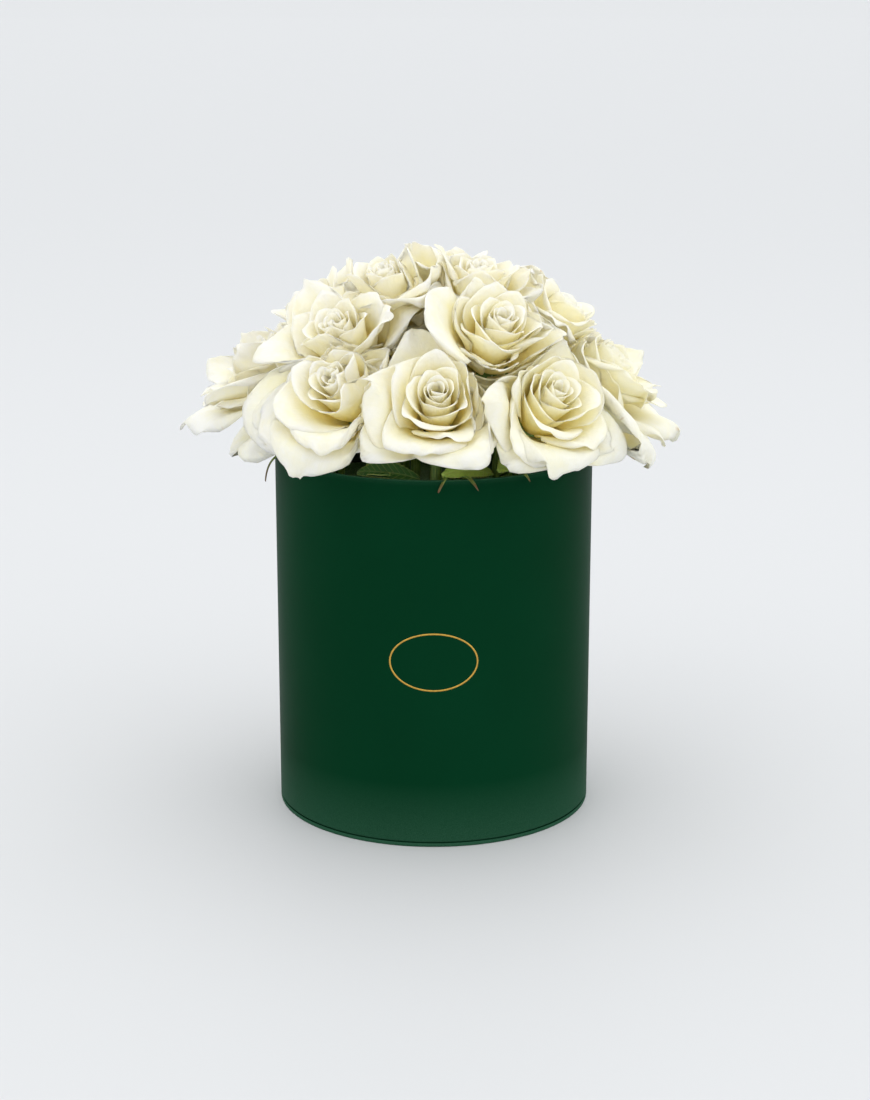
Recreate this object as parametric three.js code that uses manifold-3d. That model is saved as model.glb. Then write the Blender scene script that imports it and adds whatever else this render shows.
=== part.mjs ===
// Eighteen white roses standing as a dome in a tall round card box.
// Millimetres, +Z up, the front towards -Y. The origin is the centre of the box's underside.

import * as THREE from 'three';
import { mergeVertices } from 'three/addons/utils/BufferGeometryUtils.js';
import Module from 'manifold-3d';

const wasm = await Module();
wasm.setup();
const { Manifold, Mesh: SolidMesh } = wasm;

// Box
const BOX_RADIUS = 90;
const BOX_HEIGHT = 207;
const WALL = 2.5;
const WALL_SIDES = 44;
const EDGE = 0.5;
const BASE_PLATE = 2.2;
const BASE_NECK_RADIUS = 88.8;
const WALL_FOOT = 3;
const PLUG_TOP = 6;
const FIT = 0.3;

// Liner and foam
const LINER_THICKNESS = 0.8;
const LINER_TOP = BOX_HEIGHT - 7;
const LINER_RADIUS = BOX_RADIUS - WALL - FIT;
const LINER_FLOOR = PLUG_TOP + FIT;
const FOAM_RADIUS = LINER_RADIUS - LINER_THICKNESS - FIT;
const FOAM_BOTTOM = LINER_FLOOR + LINER_THICKNESS + FIT;
const FOAM_TOP = BOX_HEIGHT - 25;
const LINER_SIDES = 32;

// Stems
const STEM_RADIUS = 3;
const STEM_FOOT = 130;
const STEM_STANDS_TO = BOX_HEIGHT - 15;
const HOLE_SIDES = 5;
const HOLE_RADIUS = (STEM_RADIUS + FIT) / Math.cos(Math.PI / HOLE_SIDES);
const HIP_HEIGHT = 10;
const HIP_RADIUS = 6.2;
const HIP_GAP = 0.3;
const SEPALS = 5;
const SEPAL_ROOT = 3.6;
const SEPAL_LENGTHS = [26, 34];
const SEPAL_DROOP = THREE.MathUtils.degToRad(25);
const LEAF = { aboveFoam: 8, length: 23, half: 8, stalk: 0.4, rise: 13, fold: 0.2, columns: 2, rows: 3 };

// Dome: the hearts of the blooms lie on a sphere about one focus on the box's axis.
const FOCUS = new THREE.Vector3(0, 0, BOX_HEIGHT - 10);
const HEART_DISTANCE = 118;
const HEART_HEIGHT = 33;

// Petals
const PETAL_THICKNESS = 0.7;
const CELL_CENTRE = 24;
const SHORTEST_PETAL = 33;
const LONGEST_PETAL = 54;
const HALF_WIDTHS = [13, 31];
const WIDEST_HALF_ANGLE = 0.94;
const ROUNDED_CORNERS = 0.2;
const SPIRAL = 0.035;

// Cells: how the petals stop at their neighbours. Walls lean by LAP, so that one bloom laps the next.
const CELL_GAP = 0.6;
const LAP = 0.5;
const MEETING_HEIGHT = 14;
const REACH = 36;
const OPENS_PAST = 1.45;
const SQUASH_FROM = 0.84;
const CELL_POWER = 8;
const LAYER_INSET = 18;
const RIM_SLOPE = THREE.MathUtils.degToRad(28);
const RIM_CLEARANCE = 1;

// Each ring's blooms: azimuth of the heart from the front towards +X and its tilt from upright,
// azimuth and tilt that the bloom faces, then its size, turn and openness.
const RINGS = [
  {
    stemRadius: 62,
    leafy: true,
    firstGuard: 0.78,
    blooms: [
      [-86, 57, -78, 44, 1.36, 284, 0.96],
      [-33, 57, -27, 50, 1.2, 60, 1.06],
      [1, 59, 0, 52, 1.22, 338, 1.08],
      [40, 61, 29, 51, 1.2, 200, 1.06],
      [87, 58, 80, 45, 1.36, 95, 1.16],
      [127, 60, 125, 50, 1.18, 345, 1.08],
      [165, 60, 164, 50, 1.18, 12, 1.08],
      [-154, 60, -154, 50, 1.18, 350, 1.08],
      [-118, 60, -114, 50, 1.18, 15, 1.08],
    ],
  },
  {
    stemRadius: 36,
    leafy: false,
    firstGuard: 0.76,
    blooms: [
      [31, 38, 20, 42, 1.2, 60, 1.1],
      [92, 40, 84, 38, 1.12, 300, 1.06],
      [150, 42, 150, 40, 1.18, 40, 1.1],
      [-152, 42, -152, 40, 1.18, 180, 1.1],
      [-97, 38, -90, 36, 1.14, 80, 1.08],
      [-43, 41, -30, 42, 1.2, 230, 1.12],
    ],
  },
  {
    stemRadius: 13,
    leafy: false,
    firstGuard: 0.78,
    blooms: [
      [-52, 17, -34, 20, 1.16, 204, 1.12],
      [50, 16, 30, 16, 1.16, 74, 1.12],
      [178, 15, 175, 10, 1.14, 20, 1.12],
    ],
  },
];

// Layers run from 0 at the bud's heart to 1 at the outermost petal.
const GUARD_PETALS = { count: 5, step: 144, last: 1.02, columns: 3, rows: 3, crowding: 1.35 };
const GUARD_ROOT = { share: 0.08, radius: 5, height: 7, half: 0.35 };
const HEART_SIDES = 10;
const CUP_BELLY = 0.6;
const CUP_THICKNESS = 0.8;
const CUP_HOLLOW = { share: 0.62, inwards: 3 };
const HIP_FLARE = 1.5;
const PIT_HEIGHT = 24;
const CUP_WHORL = { layer: 0.49, petals: 5, overlap: 0.09, notch: 0.14 };
const BUD_WHORL = { layer: 0.24, petals: 5, overlap: 0.16, notch: 0.08 };

const material = (color, roughness) => new THREE.MeshStandardMaterial({ color, roughness, metalness: 0 });
const PETAL_WHITE = material(0xf3eed6, 0.6);
const STEM_GREEN = material(0x55702f, 0.55);
const BOX_GREEN = material(0x0b3a20, 0.45);
const FILM = material(0x2b3a30, 0.15);
const FOAM_GREEN = material(0x3f6b3a, 0.95);

const { lerp, degToRad, clamp, seededRandom } = THREE.MathUtils;
const UP = new THREE.Vector3(0, 0, 1);

// Solids

/** Turns a closed geometry into a solid that can be joined or cut. */
function toSolid(geometry) {
  const bare = geometry.clone();
  bare.deleteAttribute('normal');
  bare.deleteAttribute('uv');
  const merged = mergeVertices(bare, 1e-4);
  return new Manifold(
    new SolidMesh({
      numProp: 3,
      vertProperties: merged.attributes.position.array,
      triVerts: new Uint32Array(merged.index.array),
    }),
  );
}

/** The largest body of a solid, with any hollow that its pieces seal filled. */
const outerBody = (solid) => solid.decompose().reduce((a, b) => (b.volume() > a.volume() ? b : a));

/** Turns a solid back into a geometry. */
function toGeometry(solid) {
  const mesh = solid.getMesh();
  const geometry = new THREE.BufferGeometry();
  geometry.setAttribute('position', new THREE.BufferAttribute(mesh.vertProperties, 3));
  geometry.setIndex(new THREE.BufferAttribute(mesh.triVerts, 1));
  geometry.computeVertexNormals();
  return geometry;
}

function geometryOf(points, index) {
  const geometry = new THREE.BufferGeometry();
  geometry.setAttribute('position', new THREE.Float32BufferAttribute(points.flatMap((p) => p.toArray()), 3));
  geometry.setIndex(index);
  return geometry;
}

/** Triangles between two rings of points, the second of which may have twice or half the points. */
function band(low, lowSides, high, highSides) {
  const sides = Math.min(lowSides, highSides);
  const index = [];
  for (let i = 0; i < sides; i += 1) {
    const next = (i + 1) % sides;
    const between = 2 * i + 1;
    if (lowSides === highSides) {
      index.push(low + i, low + next, high + next, low + i, high + next, high + i);
    } else if (highSides > lowSides) {
      index.push(low + i, high + between, high + 2 * i, low + i, low + next, high + between);
      index.push(low + next, high + 2 * next, high + between);
    } else {
      index.push(low + 2 * i, low + between, high + i, low + between, high + next, high + i);
      index.push(low + between, low + 2 * next, high + next);
    }
  }
  return index;
}

/** A closed solid through rings of points, each ring anticlockwise seen from the next one. */
function loft(rings, start, end) {
  const index = [];
  const offsets = [0];
  for (const ring of rings) offsets.push(offsets.at(-1) + ring.length);
  for (let k = 0; k + 1 < rings.length; k += 1) {
    index.push(...band(offsets[k], rings[k].length, offsets[k + 1], rings[k + 1].length));
  }
  const first = offsets.at(-1);
  const top = offsets.at(-2);
  rings[0].forEach((_, i) => index.push(first, (i + 1) % rings[0].length, i));
  rings.at(-1).forEach((_, i) => index.push(first + 1, top + i, top + ((i + 1) % rings.at(-1).length)));
  return toSolid(geometryOf([...rings.flat(), start, end], index));
}

/** A closed blade of even thickness round a sheet given as a function of its column and row shares. */
function blade(sheet, columns, rows, thickness) {
  const at = (i, j) => i * (rows + 1) + j;
  const middle = [];
  for (let i = 0; i <= columns; i += 1) {
    for (let j = 0; j <= rows; j += 1) middle.push(sheet(i / columns, j / rows));
  }
  const front = [];
  const back = [];
  for (let i = 0; i <= columns; i += 1) {
    for (let j = 0; j <= rows; j += 1) {
      const across = middle[at(Math.min(i + 1, columns), j)].clone().sub(middle[at(Math.max(i - 1, 0), j)]);
      const along = middle[at(i, Math.min(j + 1, rows))].clone().sub(middle[at(i, Math.max(j - 1, 0))]);
      const out = across.cross(along).setLength(thickness / 2);
      front.push(middle[at(i, j)].clone().add(out));
      back.push(middle[at(i, j)].clone().sub(out));
    }
  }
  const behind = front.length;
  const index = [];
  for (let i = 0; i < columns; i += 1) {
    for (let j = 0; j < rows; j += 1) {
      const [a, b, c, d] = [at(i, j), at(i + 1, j), at(i + 1, j + 1), at(i, j + 1)];
      index.push(a, b, c, a, c, d);
      index.push(behind + a, behind + c, behind + b, behind + a, behind + d, behind + c);
    }
  }
  const edge = [];
  for (let i = 0; i < columns; i += 1) edge.push(at(i, 0));
  for (let j = 0; j < rows; j += 1) edge.push(at(columns, j));
  for (let i = columns; i > 0; i -= 1) edge.push(at(i, rows));
  for (let j = rows; j > 0; j -= 1) edge.push(at(0, j));
  edge.forEach((a, k) => {
    const b = edge[(k + 1) % edge.length];
    index.push(a, behind + a, behind + b, a, behind + b, b);
  });
  return toSolid(geometryOf([...front, ...back], index));
}

// Petal form

/** Angle of a petal's midline from the bloom's axis: it flares from the hip, stands up and rolls back. */
function lean(layer, side, share) {
  const flare = 0.5 + 0.5 * layer;
  const stand = -0.15 + 0.9 * layer ** 1.4;
  const roll = 0.15 + 1.1 * layer ** 2.2;
  const edge = clamp((share + 0.1 * side ** 2.2 - 0.42) / 0.5, 0, 1.3);
  return stand + (flare - stand) * Math.exp(-share / 0.22) + roll * edge ** 1.5;
}

const petalLength = (layer) => lerp(SHORTEST_PETAL, LONGEST_PETAL, Math.min(layer, 1.05) ** 2.2);
const petalHalfWidth = (layer) => lerp(...HALF_WIDTHS, clamp(layer, 0, 1));

/** Share of the full half width at a share of the length: a narrow claw, broad shoulders, a blunt top. */
function outline(share) {
  const wide = 0.72;
  return share < wide
    ? 0.3 + 0.7 * Math.sin((Math.PI / 2) * (share / wide)) ** 1.1
    : 1 - 0.42 * ((share - wide) / (1 - wide)) ** 2;
}

/** Radius and height of the point at a share of a petal's length, by adding up its lean. */
function meridian(layer, length, side, share) {
  const steps = 12;
  let radius = 1 + 6.6 * clamp(layer, 0, 1);
  let height = 0.7 + 2.6 * (1 - clamp(layer, 0, 1));
  for (let k = 0; k < steps; k += 1) {
    const angle = lean(layer, side, (share * (k + 0.5)) / steps);
    const piece = (length * share) / steps;
    radius += Math.sin(angle) * piece;
    height += Math.cos(angle) * piece;
  }
  return { radius, height };
}

// Blooms

/** The level direction at an azimuth from the front towards +X, in degrees. */
function levelTowards(azimuth) {
  const around = degToRad(azimuth);
  return new THREE.Vector3(Math.sin(around), -Math.cos(around), 0);
}

/** The direction that leans from upright towards a level direction, in degrees. */
function leanedTo(level, tilt) {
  const lies = degToRad(tilt);
  return level.clone().multiplyScalar(Math.sin(lies)).setZ(Math.cos(lies));
}

class Bloom {
  constructor([azimuth, tilt, faceAzimuth, faceTilt, size, turn, openness], ring, number) {
    this.name = String(number).padStart(2, '0');
    this.seed = number;
    this.size = size;
    this.turn = degToRad(turn);
    this.opens = openness;
    this.ring = ring;
    this.outward = levelTowards(azimuth);
    const facing = levelTowards(faceAzimuth);
    this.axis = leanedTo(facing, faceTilt);
    this.down = leanedTo(facing, faceTilt + 90);
    this.across = this.axis.clone().cross(this.down);
    this.base = FOCUS.clone()
      .addScaledVector(leanedTo(this.outward, tilt), HEART_DISTANCE)
      .addScaledVector(this.axis, -HEART_HEIGHT * size);
    this.centre = this.base.clone().addScaledVector(this.axis, CELL_CENTRE * size);
    this.walls = [];
  }

  /** Keeps the bloom on its own side of the plane through a point with this normal. */
  wallAt(point, normal) {
    this.walls.push({
      x: normal.dot(this.down),
      y: normal.dot(this.across),
      z: normal.dot(this.axis),
      offset: normal.dot(this.base.clone().sub(point)) - CELL_GAP,
    });
  }

  /** Planes halfway to each neighbour, and one that leans on the box's rim. */
  settle(blooms) {
    for (const other of blooms) {
      if (other === this) continue;
      const midway = this.centre.clone().lerp(other.centre, 0.5);
      const outwards = midway.clone().sub(FOCUS).normalize();
      const normal = this.centre.clone().sub(other.centre).normalize();
      this.wallAt(midway, normal.addScaledVector(outwards, this.seed > other.seed ? LAP : -LAP).normalize());
    }
    const rim = this.outward.clone().multiplyScalar(BOX_RADIUS + RIM_CLEARANCE);
    rim.setZ(BOX_HEIGHT + RIM_CLEARANCE);
    const lift = this.outward.clone().multiplyScalar(Math.sin(RIM_SLOPE)).setZ(Math.cos(RIM_SLOPE));
    this.wallAt(rim, lift);
  }

  /** Distance from the axis to the bloom's walls, in a direction and at a height. */
  room(angle, height) {
    let sum = 0;
    for (const wall of this.walls) {
      const towards = -(wall.x * Math.cos(angle) + wall.y * Math.sin(angle));
      if (towards > 0) sum += (towards / Math.max(wall.offset + wall.z * height, 1)) ** CELL_POWER;
    }
    return sum ** (-1 / CELL_POWER);
  }

  /** How far the petals can open in a direction before they meet a neighbour. */
  openness(angle) {
    const meets = (OPENS_PAST * this.room(angle, MEETING_HEIGHT * this.size)) / (REACH * this.size);
    return (this.opens ** -4 + meets ** -4) ** -0.25;
  }

  /** The point at a radius, angle and height about the axis, pressed inside the bloom's walls. */
  place(radius, angle, height, inset = 0) {
    const room = Math.max(this.room(angle, height) - inset, 1);
    const rest = 1 - SQUASH_FROM;
    let share = radius / room;
    if (share > SQUASH_FROM) share = SQUASH_FROM + rest * (1 - Math.exp((SQUASH_FROM - share) / rest));
    return this.base
      .clone()
      .addScaledVector(this.down, share * room * Math.cos(angle))
      .addScaledVector(this.across, share * room * Math.sin(angle))
      .addScaledVector(this.axis, height);
  }

  /** A point on a petal: u runs from -1 to 1 across it, and the petal spirals out towards u = 1. */
  petalPoint(layer, middle, u, share) {
    const side = Math.abs(u);
    const reach = share * (1 - ROUNDED_CORNERS * side ** 2.5);
    const nominal = meridian(layer, petalLength(layer), 0, reach);
    const claw = clamp(0.3 + share / 0.55, 0, 1);
    const width = petalHalfWidth(layer) * outline(share);
    const angle = middle + u * claw * Math.min(width / nominal.radius, WIDEST_HALF_ANGLE);
    const spiralled = layer + SPIRAL * u;
    const open = spiralled * this.openness(angle);
    const at = meridian(open, petalLength(lerp(layer, open, 0.5)), side, reach);
    return this.place(at.radius * this.size, angle, at.height * this.size, LAYER_INSET * (1.06 - spiralled));
  }

  /** The outer petals, each rooted inside the heart, from the least open to the most open one. */
  guards() {
    const { count, step, last, columns, rows, crowding } = GUARD_PETALS;
    return Array.from({ length: count }, (_, k) => {
      const layer = lerp(this.ring.firstGuard, last, k / (count - 1));
      const middle = this.turn + degToRad(step) * k;
      const sheet = (i, j) => {
        const u = 2 * i - 1;
        if (j === 0) return this.place(GUARD_ROOT.radius, middle + GUARD_ROOT.half * u, GUARD_ROOT.height);
        const crowded = Math.sign(u) * Math.abs(u) ** crowding;
        return this.petalPoint(layer, middle, crowded, lerp(GUARD_ROOT.share, 1, j));
      };
      return blade(sheet, columns, rows, PETAL_THICKNESS);
    });
  }

  /** One ring round a whorl whose petals stand edge to edge, each stepping out over the next. */
  whorlRing({ layer, petals, overlap, notch }, share, inwards) {
    return Array.from({ length: HEART_SIDES }, (_, i) => {
      const angle = this.turn + (2 * Math.PI * i) / HEART_SIDES;
      const phase = ((i * petals) / HEART_SIDES) % 1;
      const lobe = phase === 0 ? 1 : 0;
      const stepped = phase === 0 ? 0 : overlap * (phase - 0.5) * 2 * share;
      const reach = share * (1 - notch * lobe * share);
      const open = (layer + 0.3 * stepped) * this.openness(angle);
      const at = meridian(open, petalLength(layer), 0, reach);
      const radius = at.radius * (1 + stepped) * this.size - inwards;
      return this.place(Math.max(radius, 1), angle, at.height * this.size);
    });
  }

  /** The heart: a whorl of cupped petals round the bud's wrapped ones, with the hollow between them. */
  heart() {
    const hip = this.whorlRing({ ...CUP_WHORL, overlap: 0, notch: 0 }, 0, -HIP_FLARE).map((point) => {
      const up = point.clone().sub(this.base).dot(this.axis);
      return point.addScaledVector(this.axis, HIP_GAP - up);
    });
    const rings = [
      hip,
      this.whorlRing(CUP_WHORL, CUP_BELLY, 0),
      this.whorlRing(CUP_WHORL, 1, 0),
      this.whorlRing(CUP_WHORL, 1, CUP_THICKNESS),
      this.whorlRing(CUP_WHORL, CUP_HOLLOW.share, CUP_HOLLOW.inwards),
      this.whorlRing(BUD_WHORL, 1, 0),
    ];
    const pit = this.base.clone().addScaledVector(this.axis, PIT_HEIGHT * this.size);
    return loft(rings, this.base.clone().addScaledVector(this.axis, HIP_GAP), pit);
  }

  /** All the white of one bloom, as one body. */
  head() {
    return outerBody(Manifold.union([this.heart(), ...this.guards()]));
  }

  /** The outline of the sepals: their tips, bent back under the bloom, and the notches between them. */
  sepals() {
    return Array.from({ length: 2 * SEPALS }, (_, i) => {
      const angle = this.turn + (Math.PI * i) / SEPALS;
      if (i % 2) return this.place(HIP_RADIUS, angle, -SEPAL_ROOT / 2);
      const length = lerp(SEPAL_LENGTHS[0], SEPAL_LENGTHS[1], seededRandom());
      return this.place(length * Math.cos(SEPAL_DROOP), angle, -length * Math.sin(SEPAL_DROOP));
    });
  }

  /** The stem from its foot in the foam, bending to the bloom and swelling into the hip with its sepals. */
  stem() {
    const foot = this.outward.clone().multiplyScalar(this.ring.stemRadius);
    const hipFoot = this.base.clone().addScaledVector(this.axis, -HIP_HEIGHT);
    const straightTo = foot.clone().setZ(STEM_STANDS_TO);
    const bend = new THREE.CubicBezierCurve3(
      straightTo,
      foot.clone().setZ(lerp(straightTo.z, hipFoot.z, 0.6)),
      hipFoot.clone().addScaledVector(this.axis, -0.35 * hipFoot.distanceTo(straightTo)),
      hipFoot,
    );
    const ring = (centre, along, radius) => {
      const out = this.across.clone().cross(along);
      return Array.from({ length: SEPALS }, (_, i) => {
        const angle = this.turn + (2 * Math.PI * i) / SEPALS;
        return centre
          .clone()
          .addScaledVector(out, radius * Math.cos(angle))
          .addScaledVector(this.across, radius * Math.sin(angle));
      });
    };
    const up = (height) => this.base.clone().addScaledVector(this.axis, height);
    const hip = (height, radius) => ring(up(height), this.axis, radius);
    const rings = [
      ring(foot.clone().setZ(STEM_FOOT), UP, STEM_RADIUS),
      ring(straightTo, UP, STEM_RADIUS),
      ring(bend.getPoint(0.6), bend.getTangent(0.6), STEM_RADIUS),
      hip(-HIP_HEIGHT, STEM_RADIUS * 1.1),
      hip(-SEPAL_ROOT, HIP_RADIUS),
      this.sepals(),
      hip(0, HIP_RADIUS * 0.95),
    ];
    return loft(rings, foot.clone().setZ(STEM_FOOT), this.base.clone());
  }

  /** A leaf on the stem, folded along its midrib and lying out towards the rim below the bloom. */
  leaf() {
    const root = this.outward.clone().multiplyScalar(this.ring.stemRadius + 1);
    root.setZ(FOAM_TOP + LEAF.aboveFoam);
    const sideways = UP.clone().cross(this.outward);
    const sheet = (i, j) => {
      const width = LEAF.half * Math.sin(Math.PI * lerp(0.12, 0.96, j)) ** 0.8 + LEAF.stalk;
      const across = (2 * i - 1) * width;
      return root
        .clone()
        .addScaledVector(this.outward, LEAF.length * j)
        .addScaledVector(sideways, across)
        .addScaledVector(UP, LEAF.rise * Math.sin((Math.PI / 2) * j) + LEAF.fold * Math.abs(across));
    };
    return blade(sheet, LEAF.columns, LEAF.rows, PETAL_THICKNESS);
  }

  /** All the green of one bloom, as one body. */
  greens() {
    seededRandom(this.seed);
    return this.ring.leafy ? outerBody(this.stem().add(this.leaf())) : this.stem();
  }
}

// Box, liner and foam

const ringOf = (points, sides) => {
  const profile = points.map(([x, y]) => new THREE.Vector2(x, y));
  return new THREE.LatheGeometry(profile, sides).rotateX(Math.PI / 2);
};

/** The card tube, with softened edges at the rim. */
function boxWall() {
  const inner = BOX_RADIUS - WALL;
  const profile = [
    [inner, WALL_FOOT],
    [BOX_RADIUS, WALL_FOOT],
    [BOX_RADIUS, BOX_HEIGHT - EDGE],
    [BOX_RADIUS - EDGE, BOX_HEIGHT],
    [inner + EDGE, BOX_HEIGHT],
    [inner, BOX_HEIGHT - EDGE],
    [inner, WALL_FOOT],
  ];
  return toSolid(ringOf(profile, WALL_SIDES));
}

/** The base: a plate under the tube, a recessed neck, and a plug inside the tube. */
function boxBase() {
  const plug = BOX_RADIUS - WALL - FIT;
  const profile = [
    [0, 0],
    [BOX_RADIUS, 0],
    [BOX_RADIUS, BASE_PLATE],
    [BASE_NECK_RADIUS, BASE_PLATE],
    [BASE_NECK_RADIUS, WALL_FOOT],
    [plug, WALL_FOOT],
    [plug, PLUG_TOP],
    [0, PLUG_TOP],
  ];
  return toSolid(ringOf(profile, WALL_SIDES));
}

/** The film cup that keeps the card dry. */
function liner() {
  const inner = LINER_RADIUS - LINER_THICKNESS;
  const profile = [
    [0, LINER_FLOOR],
    [LINER_RADIUS, LINER_FLOOR],
    [LINER_RADIUS, LINER_TOP],
    [inner, LINER_TOP],
    [inner, LINER_FLOOR + LINER_THICKNESS],
    [0, LINER_FLOOR + LINER_THICKNESS],
  ];
  return toSolid(ringOf(profile, LINER_SIDES));
}

const upright = (radius, low, high, sides) => {
  const column = new THREE.CylinderGeometry(radius, radius, high - low, sides);
  return column.rotateX(Math.PI / 2).translate(0, 0, (low + high) / 2);
};

/** The foam block, with a plain hole for each stem. */
function foam(blooms) {
  const profile = [
    [0, FOAM_BOTTOM],
    [FOAM_RADIUS, FOAM_BOTTOM],
    [FOAM_RADIUS, FOAM_TOP],
    [0, FOAM_TOP],
  ];
  const block = toSolid(ringOf(profile, LINER_SIDES));
  const holes = blooms.map((bloom) => {
    const { x, y } = bloom.outward.clone().multiplyScalar(bloom.ring.stemRadius);
    return toSolid(upright(HOLE_RADIUS, STEM_FOOT - FIT, FOAM_TOP + 1, HOLE_SIDES).translate(x, y, 0));
  });
  return block.subtract(Manifold.union(holes));
}

// Assembly

const arrangement = new THREE.Group();

function add(name, solid, finish) {
  const mesh = new THREE.Mesh(toGeometry(solid), finish);
  mesh.name = name;
  arrangement.add(mesh);
}

const blooms = RINGS.flatMap((ring) => ring.blooms.map((row) => ({ row, ring }))).map(
  ({ row, ring }, k) => new Bloom(row, ring, k + 1),
);
blooms.forEach((bloom) => bloom.settle(blooms));

add('box_wall', boxWall(), BOX_GREEN);
add('box_base', boxBase(), BOX_GREEN);
add('liner', liner(), FILM);
add('foam', foam(blooms), FOAM_GREEN);
for (const bloom of blooms) {
  add(`bloom_${bloom.name}`, bloom.head(), PETAL_WHITE);
  add(`stem_${bloom.name}`, bloom.greens(), STEM_GREEN);
}

export default arrangement;
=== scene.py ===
"""Looks for a round card box that holds a dome of eighteen white roses.

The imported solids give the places. Each rose's few thick petals are replaced by a spiral of thin ones that
follow the same petal formulas and stop at the same neighbours.
"""

from __future__ import annotations

import logging
import math
from dataclasses import dataclass, field
from enum import Enum
from typing import Sequence

import bpy
import numpy as np
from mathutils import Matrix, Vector

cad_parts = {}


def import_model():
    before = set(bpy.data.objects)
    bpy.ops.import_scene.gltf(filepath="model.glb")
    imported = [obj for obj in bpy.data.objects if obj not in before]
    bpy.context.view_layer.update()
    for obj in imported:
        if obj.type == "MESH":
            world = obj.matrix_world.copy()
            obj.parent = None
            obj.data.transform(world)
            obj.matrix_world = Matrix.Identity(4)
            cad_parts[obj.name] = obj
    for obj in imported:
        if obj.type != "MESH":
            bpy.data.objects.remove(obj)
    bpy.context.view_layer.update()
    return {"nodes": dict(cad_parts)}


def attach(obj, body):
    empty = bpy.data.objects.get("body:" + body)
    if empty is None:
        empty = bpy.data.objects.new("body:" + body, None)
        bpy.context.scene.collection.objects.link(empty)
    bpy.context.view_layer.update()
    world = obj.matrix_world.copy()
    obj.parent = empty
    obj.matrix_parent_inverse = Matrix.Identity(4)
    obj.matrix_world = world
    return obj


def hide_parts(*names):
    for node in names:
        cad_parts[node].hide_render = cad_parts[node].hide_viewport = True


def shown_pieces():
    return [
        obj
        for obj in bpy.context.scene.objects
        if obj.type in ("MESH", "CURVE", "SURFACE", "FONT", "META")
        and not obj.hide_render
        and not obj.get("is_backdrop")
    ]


Array = np.ndarray
Colour = tuple[float, float, float]
Socket = bpy.types.NodeSocket
Material = bpy.types.Material
Piece = bpy.types.Object

MM = 0.001
ROOT = "root"
SEED = 20611

log = logging.getLogger("rose_box")


# Shared sizes, in millimetres


@dataclass(frozen=True)
class BoxSizes:
    """Sizes of the card box, its liner and its foam."""

    radius: float = 90.0
    height: float = 207.0
    wall: float = 2.5
    edge: float = 0.5
    base_plate: float = 2.2
    base_neck: float = 88.8
    wall_foot: float = 3.0
    plug_top: float = 6.0
    fit: float = 0.3
    liner_drop: float = 7.0
    foam_drop: float = 25.0

    @property
    def liner_top(self) -> float:
        """Height of the liner's upper edge."""
        return self.height - self.liner_drop

    @property
    def liner_radius(self) -> float:
        """Outer radius of the liner."""
        return self.radius - self.wall - self.fit

    @property
    def foam_top(self) -> float:
        """Height of the foam's top."""
        return self.height - self.foam_drop


BOX = BoxSizes()


class Tier(Enum):
    """Rings of roses: stem circle's radius, first guard's layer, whether leafy, and which lies on top."""

    OUTER = (62.0, 0.78, True, 2)
    MIDDLE = (36.0, 0.76, False, 1)
    TOP = (13.0, 0.78, False, 0)

    @property
    def stem_radius(self) -> float:
        """Radius of the circle on which the stems stand."""
        return self.value[0]

    @property
    def first_guard(self) -> float:
        """Layer of the least open outer petal."""
        return self.value[1]

    @property
    def leafy(self) -> bool:
        """Whether the stems carry a leaf."""
        return self.value[2]

    @property
    def order(self) -> int:
        """The ring of the higher order lies over its neighbours."""
        return self.value[3]


@dataclass(frozen=True)
class Placement:
    """Where one rose stands and how it is turned.

    Azimuths are in degrees from the front towards +X, tilts in degrees from upright.
    """

    tier: Tier
    azimuth: float
    tilt: float
    face_azimuth: float
    face_tilt: float
    size: float
    turn: float
    openness: float
    # painted light and shade: below 0 the rose's petals are cooled, as on the lit left of the dome, above 0
    # warmed, as on the shaded right
    warmth: float
    rim_slope: float = 28.0
    rim_lift: float = 1.0


OUTER, MIDDLE, TOP = Tier.OUTER, Tier.MIDDLE, Tier.TOP
PLACEMENTS = (
    Placement(OUTER, -86, 57, -78, 44, 1.36, 284, 0.84, -0.9),
    Placement(OUTER, -33, 57, -27, 50, 1.2, 60, 1.06, 0.1, 7, 3),
    Placement(OUTER, 1, 59, 0, 52, 1.22, 338, 1.08, 0.2, 5, 13),
    Placement(OUTER, 40, 61, 29, 51, 1.2, 200, 1.06, 0.6, 7, 3),
    Placement(OUTER, 87, 58, 80, 45, 1.36, 95, 1.0, 0.9),
    Placement(OUTER, 127, 60, 125, 50, 1.18, 345, 1.08, 0.2),
    Placement(OUTER, 165, 60, 164, 50, 1.18, 12, 1.08, 0.0),
    Placement(OUTER, -154, 60, -154, 50, 1.18, 350, 1.08, -0.3),
    Placement(OUTER, -118, 60, -114, 50, 1.18, 15, 1.08, -0.5),
    Placement(MIDDLE, 31, 38, 20, 42, 1.2, 60, 1.1, 0.2),
    Placement(MIDDLE, 92, 40, 84, 38, 1.12, 300, 1.06, 0.5),
    Placement(MIDDLE, 150, 42, 150, 40, 1.18, 40, 1.1, 0.1),
    Placement(MIDDLE, -152, 42, -152, 40, 1.18, 180, 1.1, -0.2),
    Placement(MIDDLE, -97, 38, -90, 36, 1.14, 80, 1.08, -0.4),
    Placement(MIDDLE, -43, 41, -30, 42, 1.2, 230, 1.12, -0.4),
    Placement(TOP, -52, 17, -34, 20, 1.16, 204, 1.12, -0.5),
    Placement(TOP, 50, 16, 30, 16, 1.16, 74, 1.12, 0.0),
    Placement(TOP, 178, 15, 175, 10, 1.14, 20, 1.12, 0.0),
)


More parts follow.
